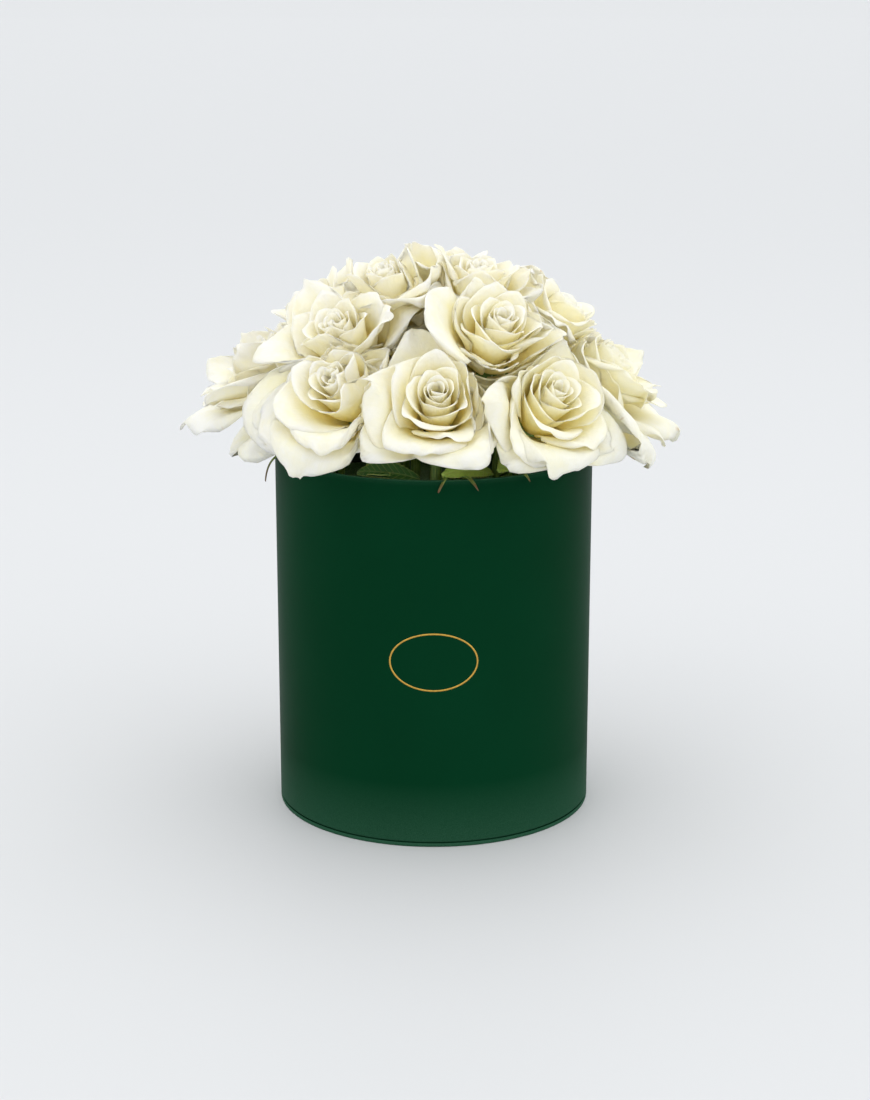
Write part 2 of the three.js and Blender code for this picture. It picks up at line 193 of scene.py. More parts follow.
@dataclass(frozen=True)
class DomeSizes:
    """How the roses share the dome; the same values as the solids have."""

    focus: tuple[float, float, float] = (0.0, 0.0, BOX.height - 10)
    heart_distance: float = 118.0
    heart_height: float = 33.0
    cell_centre: float = 24.0
    cell_gap: float = 0.6
    lap: float = 0.5
    past: tuple[float, float] = (-2.0, 10.0)
    ring_past: tuple[float, float] = (1.0, 2.5)
    lap_heights: tuple[float, float] = (12.0, 30.0)
    meeting_height: float = 14.0
    fitting_height: float = 28.0
    corner_height: float = 30.0
    corner_room: tuple[float, float] = (22.0, 72.0)
    reach: float = 36.0
    opens_past: float = 1.45
    squash_from: float = 0.88
    cell_power: float = 6.0
    corner_power: float = 16.0
    layer_inset: float = 18.0
    rim_clearance: float = 1.0
    front_cut: float = 0.16
    front_reach: float = 112.0


DOME = DomeSizes()


# Mesh building


class MeshPile:
    """Gathers closed shells into one mesh, with values at their vertices for the finish to read."""

    def __init__(self, layers: Sequence[str]) -> None:
        """Starts an empty pile.

        Args:
            layers: Names of the values that every shell brings, one number a vertex each.
        """
        self.layers = tuple(layers)
        self.points: list[Array] = []
        self.faces: list[Array] = []
        self.values: dict[str, list[Array]] = {name: [] for name in self.layers}
        self.count = 0

    def add(self, points: Array, faces: Array, **values: Array | float) -> None:
        """Adds one shell.

        Args:
            points: Vertices in millimetres, shape (n, 3).
            faces: Vertex numbers of quads, shape (m, 4).
            values: One array of n numbers, or one number, for each layer; a layer left out is 0.
        """
        self.points.append(points)
        self.faces.append(faces + self.count)
        for name in self.layers:
            self.values[name].append(np.broadcast_to(values.get(name, 0.0), len(points)))
        self.count += len(points)

    def add_blade(self, sheet: Array, thickness: Array, grids: dict[str, Array], **numbers: float) -> None:
        """Adds a closed shell round a sheet.

        Args:
            sheet: Mid-surface points, shape (columns, rows, 3).
            thickness: Full thickness at each point.
            grids: Values of some layers, one for each point of the sheet.
            numbers: Values of other layers, one number each.
        """
        points, faces = blade_shell(sheet, thickness)
        whole = {name: np.broadcast_to(grid, thickness.shape).reshape(-1) for name, grid in grids.items()}
        self.add(points, faces, **{name: np.tile(grid, 2) for name, grid in whole.items()}, **numbers)

    def build(self, name: str, finish: Material) -> Piece:
        """Makes the object, smooth-shaded, in metres.

        Args:
            name: The piece's name.
            finish: Its material.

        Returns:
            The new object, linked to the scene.
        """
        mesh = bpy.data.meshes.new(name)
        faces = np.concatenate(self.faces)
        mesh.from_pydata(np.concatenate(self.points) * MM, [], faces.tolist())
        for layer in self.layers:
            attribute = mesh.attributes.new(layer, "FLOAT", "POINT")
            attribute.data.foreach_set("value", np.concatenate(self.values[layer]).astype(np.float32))
        mesh.validate()
        mesh.shade_smooth()
        mesh.materials.append(finish)
        piece = bpy.data.objects.new(name, mesh)
        bpy.context.scene.collection.objects.link(piece)
        log.info("%s: %d faces", name, len(mesh.polygons))
        return piece


def grid_faces(columns: int, rows: int, closed: bool = False) -> Array:
    """Quads of a grid whose vertex (i, j) has the number i * rows + j.

    Args:
        columns: Number of vertex columns.
        rows: Number of vertices in each column.
        closed: Whether the last column joins the first one.

    Returns:
        Vertex numbers, shape (m, 4).
    """
    i, j = np.meshgrid(np.arange(columns if closed else columns - 1), np.arange(rows - 1), indexing="ij")
    here, following = i * rows + j, (i + 1) % columns * rows + j
    return np.stack([here, following, following + 1, here + 1], axis=-1).reshape(-1, 4)


def sheet_normals(sheet: Array) -> Array:
    """Unit normals of a grid of points.

    Args:
        sheet: Points, shape (columns, rows, 3).

    Returns:
        Normals of the same shape.
    """
    normals = np.cross(np.gradient(sheet, axis=0), np.gradient(sheet, axis=1))
    return normals / np.maximum(np.linalg.norm(normals, axis=-1, keepdims=True), 1e-9)


def blade_shell(sheet: Array, thickness: Array) -> tuple[Array, Array]:
    """A closed shell of varying thickness round a sheet.

    Args:
        sheet: Mid-surface points, shape (columns, rows, 3).
        thickness: Full thickness at each point, shape (columns, rows).

    Returns:
        Vertices, the front sheet's first and then the back's, and quads.
    """
    columns, rows = thickness.shape
    offset = sheet_normals(sheet) * thickness[..., None] / 2
    front = grid_faces(columns, rows)
    behind = columns * rows
    numbers = np.arange(behind).reshape(columns, rows)
    edge = np.concatenate([numbers[:-1, 0], numbers[-1, :-1], numbers[:0:-1, -1], numbers[0, :0:-1]])
    following = np.roll(edge, -1)
    rim = np.stack([edge, edge + behind, following + behind, following], axis=-1)
    points = np.concatenate([(sheet + offset).reshape(-1, 3), (sheet - offset).reshape(-1, 3)])
    return points, np.concatenate([front, front[:, ::-1] + behind, rim])


def tube_shell(path: Array, radii: Array, sides: int, across: Array) -> tuple[Array, Array]:
    """A closed round bar along a path.

    Args:
        path: Centre points, shape (n, 3).
        radii: Radius at each point.
        sides: Number of sides.
        across: A direction that no part of the path runs along.

    Returns:
        Vertices and quads; each end closes on its centre.
    """
    along = np.gradient(path, axis=0)
    along /= np.linalg.norm(along, axis=-1, keepdims=True)
    first = np.cross(along, across)
    first /= np.linalg.norm(first, axis=-1, keepdims=True)
    second = np.cross(along, first)
    angles = np.linspace(0, 2 * math.pi, sides, endpoint=False)[:, None, None]
    radii = radii[None, :, None]
    ring = path[None] + radii * (np.cos(angles) * first[None] + np.sin(angles) * second[None])
    ends = np.broadcast_to(path[[0, -1]][None], (sides, 2, 3))
    columns = np.concatenate([ends[:, :1], ring, ends[:, 1:]], axis=1)
    return columns.reshape(-1, 3), grid_faces(sides, len(path) + 2, closed=True)


def lathe_shell(profile: Sequence[tuple[float, float]], sides: int) -> tuple[Array, Array]:
    """A body turned about the upright axis.

    Args:
        profile: Radius and height of the outline's corners, anticlockwise with the axis at the left.
        sides: Number of sides.

    Returns:
        Vertices and quads.
    """
    radius, height = np.array([*profile, profile[0]], float).T
    angles = np.linspace(0, 2 * math.pi, sides, endpoint=False)[:, None]
    upright = np.broadcast_to(height, (sides, len(height)))
    ring = np.stack([radius * np.cos(angles), radius * np.sin(angles), upright], axis=-1)
    return ring.reshape(-1, 3), grid_faces(sides, len(radius), closed=True)


def smooth_step(value: Array, low: float, high: float) -> Array:
    """Rises smoothly from 0 at low to 1 at high."""
    share = np.clip((value - low) / (high - low), 0, 1)
    return share * share * (3 - 2 * share)


def waves(places: Array, rng: np.random.Generator, longest: float, count: int = 3) -> Array:
    """A smooth random line: sines whose height falls with their length.

    Args:
        places: Where to read it.
        rng: Source of the random phases.
        longest: Length of the longest wave.
        count: Number of sines.

    Returns:
        Values between about -1 and 1, of the same shape as places.
    """
    total = np.zeros_like(places)
    for k in range(count):
        phase, length = rng.uniform(0, 2 * math.pi), longest / (1 + 0.85 * k)
        total += np.sin(2 * math.pi * places / length + phase) / (1 + k)
    return total / 1.5


# Finishes


class Shader:
    """A material's node tree, with the few helpers that the finishes share.

    The numbers in mixed are those of the colour mixer's sockets, which share their names with others.
    """

    mixed = {"share": 0, "first": 6, "second": 7, "result": 2}

    def __init__(self, name: str, **constants: float | Colour) -> None:
        """Starts a material.

        Args:
            name: Its name.
            constants: Values for the surface shader's sockets, spaces written as underscores.
        """
        self.material = bpy.data.materials.new(name)
        self.material.use_nodes = True
        self.tree = self.material.node_tree
        self.surface = self.tree.nodes["Principled BSDF"]
        for socket, value in constants.items():
            whole = (*value, 1.0) if isinstance(value, tuple) and socket != "Subsurface_Radius" else value
            self.surface.inputs[socket.replace("_", " ")].default_value = whole

    def node(self, kind: str, **settings: object) -> bpy.types.Node:
        """Adds a node.

        Args:
            kind: Its type.
            settings: Its properties by name.

        Returns:
            The node.
        """
        made = self.tree.nodes.new(kind)
        for key, value in settings.items():
            setattr(made, key, value)
        return made

    def link(self, source: Socket, target: Socket) -> None:
        """Joins an output to an input."""
        self.tree.links.new(source, target)

    def feed(self, target: Socket, value: object) -> None:
        """Gives an input its value.

        Args:
            target: The input.
            value: A socket to link, or a fixed number or colour.
        """
        if isinstance(value, Socket):
            self.link(value, target)
        else:
            target.default_value = (*value, 1.0) if target.type == "RGBA" else value

    def attribute(self, name: str) -> Socket:
        """A number kept at the vertices."""
        return self.node("ShaderNodeAttribute", attribute_name=name).outputs["Fac"]

    def place(self, scale: tuple[float, float, float] = (1.0, 1.0, 1.0)) -> Socket:
        """The object's own coordinates.

        Args:
            scale: What each axis is multiplied by.

        Returns:
            The place, in metres times the scale.
        """
        mapping = self.node("ShaderNodeMapping")
        mapping.inputs["Scale"].default_value = scale
        self.link(self.node("ShaderNodeTexCoord").outputs["Object"], mapping.inputs["Vector"])
        return mapping.outputs["Vector"]

    def joined(self, x: object, y: object, z: object) -> Socket:
        """A vector.

        Args:
            x: Its first part, a number or socket.
            y: Its second part.
            z: Its third part.

        Returns:
            The vector.
        """
        combine = self.node("ShaderNodeCombineXYZ")
        for socket, value in zip(combine.inputs, (x, y, z)):
            self.feed(socket, value)
        return combine.outputs["Vector"]

    def noise(self, vector: Socket, scale: float, detail: float = 2.0) -> Socket:
        """Soft random values.

        Args:
            vector: Where they are read.
            scale: How many blobs there are to a unit.
            detail: Number of finer layers.

        Returns:
            Values from 0 to 1.
        """
        made = self.node("ShaderNodeTexNoise")
        made.inputs["Scale"].default_value = scale
        made.inputs["Detail"].default_value = detail
        self.link(vector, made.inputs["Vector"])
        return made.outputs["Fac"]

    def maths(self, operation: str, first: object, second: object = 0.5, third: object = 0.5) -> Socket:
        """One sum of up to three numbers or sockets.

        Args:
            operation: Which sum.
            first: Its first number.
            second: Its second number.
            third: Its third number.

        Returns:
            The result.
        """
        made = self.node("ShaderNodeMath", operation=operation)
        for socket, value in zip(made.inputs, (first, second, third)):
            self.feed(socket, value)
        return made.outputs["Value"]

    def ramp(self, value: Socket, stops: Sequence[tuple[float, Colour]]) -> Socket:
        """A colour that changes along a value.

        Args:
            value: What is read.
            stops: Places from 0 to 1 and their colours.

        Returns:
            The colour.
        """
        made = self.node("ShaderNodeValToRGB")
        elements = made.color_ramp.elements
        while len(elements) < len(stops):
            elements.new(1.0)
        for element, (position, colour) in zip(elements, stops):
            element.position = position
            element.color = (*colour, 1.0)
        self.link(value, made.inputs["Fac"])
        return made.outputs["Color"]

    def span(
        self, value: object, low: float, high: float, to_low: float = 0.0, to_high: float = 1.0
    ) -> Socket:
        """A value moved from one range to another, and kept inside it.

        Args:
            value: What is moved.
            low: Where the first range starts.
            high: Where it ends.
            to_low: What the start becomes.
            to_high: What the end becomes.

        Returns:
            The moved value.
        """
        made = self.node("ShaderNodeMapRange")
        self.feed(made.inputs["Value"], value)
        for name, number in zip(("From Min", "From Max", "To Min", "To Max"), (low, high, to_low, to_high)):
            made.inputs[name].default_value = number
        return made.outputs["Result"]

    def mix(self, share: object, first: object, second: object) -> Socket:
        """One colour laid over another.

        Args:
            share: How much of the second shows.
            first: The colour below.
            second: The colour above.

        Returns:
            The mixed colour.
        """
        made = self.node("ShaderNodeMix", data_type="RGBA")
        for name, value in (("share", share), ("first", first), ("second", second)):
            self.feed(made.inputs[self.mixed[name]], value)
        return made.outputs[self.mixed["result"]]

    def bump(self, height: Socket, depth_mm: float) -> None:
        """Roughens the surface.

        Args:
            height: Its relief, from 0 to 1.
            depth_mm: How high 1 stands, in millimetres.
        """
        made = self.node("ShaderNodeBump")
        made.inputs["Distance"].default_value = depth_mm * MM
        self.link(height, made.inputs["Height"])
        self.link(made.outputs["Normal"], self.surface.inputs["Normal"])

    def colour(self, value: object) -> None:
        """Sets the surface's colour."""
        self.feed(self.surface.inputs["Base Color"], value)

    def roughness(self, value: object) -> None:
        """Sets the surface's roughness."""
        self.feed(self.surface.inputs["Roughness"], value)


@dataclass(frozen=True)
class PetalFinish:
    """Thin creamy petal: greenish at the claw, warm in the depths with a painted glow, paler and cooler at
    the edge with a painted highlight, and painted light and shade from one side of the dome to the other.
    """

    claw: Colour = (0.96, 0.86, 0.36)
    # partly real, partly painted light: the petal's yellow base, made richer to stand for warm light
    # bouncing between the petals in the depths
    deep_yellow_and_painted_glow: Colour = (0.99, 0.91, 0.50)
    blade: Colour = (0.985, 0.955, 0.765)
    # partly real, partly painted highlight: the rim is paler, and whiter still to stand for the light that
    # the rolled rim catches
    edge: Colour = (0.98, 0.955, 0.87)
    # painted light and shade: the cool colour stands for the lit left of the dome, the warm one for the
    # shaded right
    painted_lit_cool: Colour = (0.96, 0.945, 0.89)
    warm: Colour = (0.97, 0.94, 0.62)
    vein: Colour = (0.86, 0.85, 0.58)
    bruise: Colour = (0.60, 0.34, 0.12)

    def material(self) -> Material:
        """Builds the petal's material.

        Returns:
            The material.
        """
        shader = Shader(
            "rose_petal",
            Roughness=0.52,
            Specular_IOR_Level=0.35,
            Subsurface_Weight=0.5,
            Subsurface_Radius=(1.0, 0.95, 0.8),
            Subsurface_Scale=0.0016,
            Sheen_Weight=0.08,
            Sheen_Roughness=0.5,
        )
        share, layer, number = (shader.attribute(name) for name in ("share", "layer", "number"))
        across, along = shader.attribute("across"), shader.attribute("along")
        # from claw to rim: the petal's own yellow base, a painted warm glow deep in the petal and a painted
        # highlight at the rim
        stops = ((0.05, self.claw), (0.35, self.deep_yellow_and_painted_glow), (0.72, self.blade), (1.0, self.edge))
        body = shader.ramp(share, stops)
        # painted light and shade: roses on the lit left are cooled, those on the shaded right warmed
        warmth = shader.attribute("warmth")
        painted_lit_mixed = shader.mix(shader.span(warmth, 0.0, -1.0, 0.0, 0.55), body, self.painted_lit_cool)
        painted_shade_mixed = shader.mix(shader.span(warmth, 0.0, 1.0, 0.0, 0.4), painted_lit_mixed, self.warm)
        open_out = shader.mix(shader.span(layer, 0.7, 1.0, 0.0, 0.3), painted_shade_mixed, self.edge)
        own = shader.joined(across, along, shader.maths("MULTIPLY", number, 7.3))
        blotch = shader.noise(own, 0.09, 3.0)
        toned = shader.mix(shader.span(blotch, 0.4, 0.7, 0.0, 0.45), open_out, self.deep_yellow_and_painted_glow)
        narrow, long = shader.maths("MULTIPLY", across, 1.9), shader.maths("MULTIPLY", along, 0.07)
        vein = shader.noise(shader.joined(narrow, long, number), 1.0, 4.0)
        veined = shader.mix(shader.span(vein, 0.45, 0.75, 0.0, 0.2), toned, self.vein)
        near_edge = shader.span(shader.attribute("rim"), 0.93, 1.0)
        patch = shader.span(shader.noise(own, 0.22), 0.62, 0.72, 0.0, 0.85)
        bruised = shader.maths("MULTIPLY", near_edge, patch)
        shader.colour(shader.mix(bruised, veined, self.bruise))
        shader.roughness(shader.span(vein, 0.3, 0.8, 0.45, 0.6))
        crinkle = shader.maths("MULTIPLY_ADD", shader.noise(own, 0.35, 3.0), 1.6, vein)
        shader.bump(crinkle, 0.22)
        return shader.material


class Growth(Enum):
    """What a green part is, as the number that its vertices carry."""

    STALK = 0.0
    SEPAL = 0.6
    LEAF = 1.0
    YOUNG_LEAF = 1.3


@dataclass(frozen=True)
class GreenFinish:
    """Stem, hip, sepal and leaf: fibres along, veins across the leaf, browned tips."""

    stem: Colour = (0.10, 0.20, 0.035)
    light: Colour = (0.26, 0.38, 0.10)
    leaf: Colour = (0.035, 0.12, 0.025)
    leaf_edge: Colour = (0.34, 0.42, 0.12)
    # partly real, partly painted light: a pale young green, lifted further to show in the shade at the rim
    young_green_and_painted_light: Colour = (0.34, 0.48, 0.09)
    brown: Colour = (0.16, 0.05, 0.025)

    def material(self) -> Material:
        """Builds the material of the green parts.

        Returns:
            The material.
        """
        shader = Shader(
            "rose_green",
            Roughness=0.42,
            Specular_IOR_Level=0.4,
            Subsurface_Weight=0.08,
            Subsurface_Scale=0.002,
        )
        share, kind, number = (shader.attribute(name) for name in ("share", "kind", "number"))
        across, along = shader.attribute("across"), shader.attribute("along")
        own = shader.joined(across, along, shader.maths("MULTIPLY", number, 3.1))
        narrow, long = shader.maths("MULTIPLY", across, 1.4), shader.maths("MULTIPLY", along, 0.12)
        streaks = shader.noise(shader.joined(narrow, long, number), 1.0, 3.0)
        stalk = shader.mix(shader.span(streaks, 0.35, 0.7), self.stem, self.light)
        spread = shader.maths("ABSOLUTE", across)
        chevrons = shader.maths("SUBTRACT", along, shader.maths("MULTIPLY", spread, 0.8))
        ribs = shader.maths("PINGPONG", chevrons, 1.6)
        midrib = shader.span(spread, 0.1, 0.7, 1.0, 0.0)
        vein = shader.maths("MAXIMUM", shader.span(ribs, 0.0, 0.5, 1.0, 0.0), midrib)
        old, new = Growth.LEAF.value, Growth.YOUNG_LEAF.value
        # young leaves take the pale green that is partly painted light
        leaf = shader.mix(shader.span(kind, old, new), self.leaf, self.young_green_and_painted_light)
        blade = shader.mix(shader.maths("MULTIPLY", vein, 0.28), leaf, self.leaf_edge)
        edged = shader.mix(shader.span(shader.attribute("rim"), 0.8, 1.0, 0.0, 0.9), blade, self.leaf_edge)
        body = shader.mix(shader.span(kind, 0.9, 1.0), stalk, edged)
        sepal = shader.maths("COMPARE", kind, Growth.SEPAL.value, 0.1)
        tips = shader.maths("MULTIPLY", sepal, shader.span(share, 0.55, 1.0))
        spots = shader.span(shader.noise(own, 0.12), 0.35, 0.6, 0.1, 1.0)
        patch = shader.maths("MULTIPLY", tips, spots)
        shader.colour(shader.mix(patch, body, self.brown))
        shader.roughness(shader.span(streaks, 0.3, 0.7, 0.36, 0.55))
        raised = shader.maths("MULTIPLY_ADD", vein, shader.span(kind, 0.9, 1.0, 0.0, -1.0), streaks)
        shader.bump(raised, 0.22)
        return shader.material


@dataclass(frozen=True)
class CardFinish:
    """Deep green covering paper with a soft satin face, a fine tooth and slightly rubbed edges, whose paler
    colour is partly a painted highlight.
    """

    body: Colour = (0.0008, 0.031, 0.0108)
    lighter: Colour = (0.0010, 0.036, 0.0130)
    # partly wear, partly painted highlight: the paler green of the rim, the foot and the base band stands
    # for the light that they catch
    rubbed_and_highlight: Colour = (0.07, 0.19, 0.12)

    def material(self) -> Material:
        """Builds the box's material.

        Returns:
            The material.
        """
        shader = Shader("box_card", Roughness=0.5, Specular_IOR_Level=0.02)
        cloud = shader.noise(shader.place(), 9.0, 3.0)
        body = shader.mix(shader.span(cloud, 0.35, 0.7), self.body, self.lighter)
        tooth = shader.noise(shader.place(), 2600.0)
        # paler edges: partly rubbed, partly a painted highlight
        rub = shader.maths("MULTIPLY", shader.attribute("edge"), shader.span(tooth, 0.3, 0.75, 0.25, 0.8))
        shader.colour(shader.mix(rub, body, self.rubbed_and_highlight))
        gloss = shader.noise(shader.place((1.0, 1.0, 0.4)), 14.0, 3.0)
        shader.roughness(shader.span(gloss, 0.3, 0.75, 0.42, 0.54))
        long_wave = shader.noise(shader.place(), 320.0)
        shader.bump(shader.maths("MULTIPLY_ADD", long_wave, 0.6, tooth), 0.035)
        return shader.material


@dataclass(frozen=True)
class FilmFinish:
    """Glossy crinkled film, lighter on its creases as painted glints."""

    tint: Colour = (0.035, 0.05, 0.04)
    # painted highlight: the pale colour of the creases stands for glints
    painted_glint: Colour = (0.16, 0.19, 0.17)

    def material(self) -> Material:
        """Builds the liner's material.

        Returns:
            The material.
        """
        shader = Shader("liner_film", Roughness=0.14, Specular_IOR_Level=0.8)
        creases = shader.noise(shader.place((1.0, 1.0, 0.35)), 90.0, 4.0)
        # painted glints: the creases are lighter
        shader.colour(shader.mix(shader.span(creases, 0.45, 0.75), self.tint, self.painted_glint))
        shader.roughness(shader.span(creases, 0.3, 0.8, 0.08, 0.3))
        shader.bump(creases, 1.6)
        return shader.material


@dataclass(frozen=True)
class FoamFinish:
    """Wet green foam with fine open cells."""

    body: Colour = (0.03, 0.10, 0.035)
    pale: Colour = (0.07, 0.17, 0.06)

    def material(self) -> Material:
        """Builds the foam's material.

        Returns:
            The material.
        """
        shader = Shader("wet_foam", Roughness=0.7, Specular_IOR_Level=0.4)
        cells = shader.node("ShaderNodeTexVoronoi")
        cells.inputs["Scale"].default_value = 900.0
        shader.link(shader.place(), cells.inputs["Vector"])
        soft = shader.noise(shader.place(), 40.0, 3.0)
        shader.colour(shader.mix(soft, self.body, self.pale))
        shader.roughness(shader.span(cells.outputs["Distance"], 0.0, 0.7, 0.9, 0.55))
        shader.bump(cells.outputs["Distance"], 0.5)
        return shader.material


@dataclass(frozen=True)
class FoilFinish:
    """Thin gold foil pressed on the card."""

    gold: Colour = (0.62, 0.36, 0.055)
    worn: Colour = (0.42, 0.25, 0.05)

    def material(self) -> Material:
        """Builds the foil's material.

        Returns:
            The material.
        """
        shader = Shader("gold_foil", Roughness=0.36, Metallic=0.55)
        rub = shader.noise(shader.place(), 700.0, 3.0)
        shader.colour(shader.mix(shader.span(rub, 0.45, 0.75), self.gold, self.worn))
        shader.roughness(shader.span(rub, 0.3, 0.7, 0.3, 0.45))
        shader.bump(rub, 0.02)
        return shader.material


@dataclass(frozen=True)
class FloorFinish:
    """Plain pale floor."""

    pale: Colour = (0.665, 0.672, 0.68)

    def material(self) -> Material:
        """Builds the floor's material.

        Returns:
            The material.
        """
        shader = Shader("floor_pale", Roughness=0.6, Specular_IOR_Level=0.2)
        shader.colour(self.pale)
        return shader.material


# Petal formulas, the same as in the solids


@dataclass(frozen=True)
class PetalForm:
    """Outline and lean of a petal, from layer 0 at the bud's heart to 1 at the outermost petal."""

    shortest: float = 33.0
    longest: float = 54.0
    half_widths: tuple[float, float] = (13.0, 31.0)
    rounded: float = 0.2
    spiral: float = 0.035
    steps: int = 14
    first_row: float = 0.02
    tip_rise: float = 0.05
    tip_half_width: float = 0.17
    edge_wobble: float = 0.016
    ripple_lean: float = 0.03
    ripple_height: float = 0.9
    fold_height: float = 0.35
    ball_radius: float = 26.0
    ball_growth: float = 20.0
    thickness: float = 0.5
    rim_thinned: float = 0.28

    @staticmethod
    def lean(layer: Array, side: Array, share: Array) -> Array:
        """Angle of the midline from the bloom's axis.

        Args:
            layer: How far out the petal is.
            side: Distance from the midline, from 0 to 1 at the side edge.
            share: Share of the length, from 0 at the claw to 1 at the tip.

        Returns:
            The angle in radians.
        """
        flare = 0.5 + 0.5 * layer
        stand = -0.15 + 0.9 * layer**1.4
        roll = 0.15 + 1.1 * layer**2.2
        edge = np.clip((share + 0.1 * side**2.2 - 0.42) / 0.5, 0, 1.3)
        return stand + (flare - stand) * np.exp(-share / 0.22) + roll * edge**1.5

    def length(self, layer: Array) -> Array:
        """Length of the midline."""
        return self.shortest + (self.longest - self.shortest) * np.minimum(layer, 1.05) ** 2.2

    def half_width(self, layer: float, share: Array) -> Array:
        """Half the width: narrow claw, broad shoulders, blunt top.

        Args:
            layer: How far out the petal is.
            share: Share of the length.

        Returns:
            Half the width in millimetres.
        """
        wide = 0.72
        claw = 0.3 + 0.7 * np.sin(math.pi / 2 * np.minimum(share / wide, 1)) ** 1.1
        top = 1 - 0.42 * ((share - wide) / (1 - wide)) ** 2
        low, high = self.half_widths
        return (low + (high - low) * min(max(layer, 0), 1)) * np.where(share < wide, claw, top)

    def meridian(self, layer: Array, length: Array, side: Array, share: Array) -> tuple[Array, Array]:
        """Where a point of the petal lies, by adding up the lean.

        Args:
            layer: How far out the petal is.
            length: Length of the midline.
            side: Distance from the midline, from 0 to 1.
            share: Share of the length.

        Returns:
            Its radius and height about the bloom's axis.
        """
        inner = np.clip(layer, 0, 1)
        radius, height = 1 + 6.6 * inner, 0.7 + 2.6 * (1 - inner)
        piece = length * share / self.steps
        for k in range(self.steps):
            angle = self.lean(layer, side, share * (k + 0.5) / self.steps)
            radius = radius + np.sin(angle) * piece
            height = height + np.cos(angle) * piece
        return radius, height


FORM = PetalForm()


def level_towards(azimuth: float) -> Array:
    """The level direction at an azimuth from the front towards +X, in degrees."""
    around = math.radians(azimuth)
    return np.array([math.sin(around), -math.cos(around), 0.0])


def leaned_to(level: Array, tilt: float) -> Array:
    """The direction that leans from upright towards a level direction, in degrees."""
    lies = math.radians(tilt)
    return level * math.sin(lies) + np.array([0.0, 0.0, math.cos(lies)])


def unit(vector: Array) -> Array:
    """A vector of length 1."""
    return vector / np.linalg.norm(vector)


def held_in(points: Array, reach: float, spare: float = 14.0) -> Array:
    """Draws in whatever stands too far from the upright axis.

    Args:
        points: The points.
        reach: How far out they may stand freely.
        spare: How much further the furthest may come.

    Returns:
        The points, drawn in.
    """
    far = np.hypot(points[..., 0], points[..., 1])
    over = np.maximum(far - reach, 0)
    share = np.where(over > 0, (reach + spare * (1 - np.exp(-over / spare))) / np.maximum(far, 1e-9), 1)
    return points * np.stack([share, share, np.ones_like(share)], axis=-1)


def held_up(points: Array, lowest: float, spare: float = 9.0) -> Array:
    """Draws up whatever hangs too low.

    Args:
        points: The points.
        lowest: How low they may hang freely.
        spare: How much lower the lowest may come.

    Returns:
        The points, drawn up.
    """
    under = np.maximum(lowest - points[..., 2], 0)
    lift = under - spare * (1 - np.exp(-under / spare))
    return points + np.stack([0 * lift, 0 * lift, lift], axis=-1)


@dataclass(frozen=True)
class PetalKind:
    """What petals of a kind share: grid, widest half angle, ripple, rolled rim, tip and drawn-in sides."""

    columns: int
    rows: int
    widest: float
    ruffle: float
    curl: float
    point: float
    scallop: float = 0.0


@dataclass(frozen=True)
class PetalPlan:
    """One petal: its kind, its layer, where its midline stands, and how it differs from its neighbours.

    A petal without an openness of its own opens as far as its neighbours let it, and one without an inset
    keeps the distance from them that its layer gives.
    """

    kind: PetalKind
    layer: float
    middle: float
    opens: float = 0.0
    stretch: float = 1.0
    inset: float | None = None
    bruised: bool = False


GUARD = PetalKind(25, 21, 0.94, 1.25, 0.65, 1.7, 7.0)
BETWEEN = PetalKind(21, 17, 0.94, 0.7, 0.6, 1.2, 6.0)
FILLER = PetalKind(21, 19, 0.8, 1.0, 0.7, 1.6, 2.0)
SKIRT = PetalKind(21, 14, 1.05, 1.2, 0.5, 1.4)
HEM = PetalKind(25, 21, 0.85, 1.2, 0.5, 2.0, 9.0)


def extra(kind: PetalKind, layer: float, degrees: float, *rest: float) -> PetalPlan:
    """A petal that the photograph shows at one rose; the rest is its openness, stretch and inset."""
    return PetalPlan(kind, layer, math.radians(degrees), *rest)


LEFT_CUP = PetalKind(29, 21, 1.3, 0.8, 0.4, 1.2)
RIGHT_CUP = PetalKind(29, 21, 1.35, 0.8, 0.4, 1.2)
EXTRA_PETALS = {
    1: (
        extra(LEFT_CUP, 0.8, -95, 0.6, 1.02, -2.5),
        extra(LEFT_CUP, 0.8, -42, 0.66, 1.06, -2.5),
        extra(LEFT_CUP, 0.8, 14, 0.72, 1.03, -2.5),
        extra(LEFT_CUP, 0.8, 44, 0.86, 1.12, -2.5),
        extra(LEFT_CUP, 0.8, 82, 0.62, 1.15, -2.5),
    ),
    5: (
        extra(RIGHT_CUP, 0.8, 66, 0.62, 1.0, -1.5),
        extra(RIGHT_CUP, 0.8, 18, 0.68, 0.96, -1.5),
        extra(RIGHT_CUP, 0.8, -36, 0.72, 1.0, -1.5),
        extra(RIGHT_CUP, 0.8, -62, 0.78, 1.04, -1.5),
    ),
    10: (extra(PetalKind(25, 21, 0.8, 0.6, 0.4, 2.4), 0.92, 268, 0.84, 1.15, -12.0),),
    15: (extra(PetalKind(27, 23, 0.95, 0.6, 0.8, 0.8), 0.92, 95, 0.66, 1.0, 0.3),),
    16: (
        extra(PetalKind(25, 21, 0.8, 0.8, 0.9, 1.0), 0.9, 150, 0.6, 1.05, 0.5),
        extra(PetalKind(25, 21, 0.85, 0.8, 0.5, 1.8), 0.95, 54, 0.95, 1.2, -10.0),
        extra(PetalKind(27, 23, 0.95, 0.7, 0.5, 1.6), 0.9, 92, 0.85, 1.1, -14.0),
    ),
    17: (
        extra(PetalKind(25, 21, 0.75, 0.5, 0.7, 1.6), 0.9, 252, 0.5, 1.05, 0.5),
        extra(PetalKind(25, 21, 0.9, 1.8, 0.9, 0.8), 0.95, 70, 0.9, 1.0, 0.5),
    ),
}


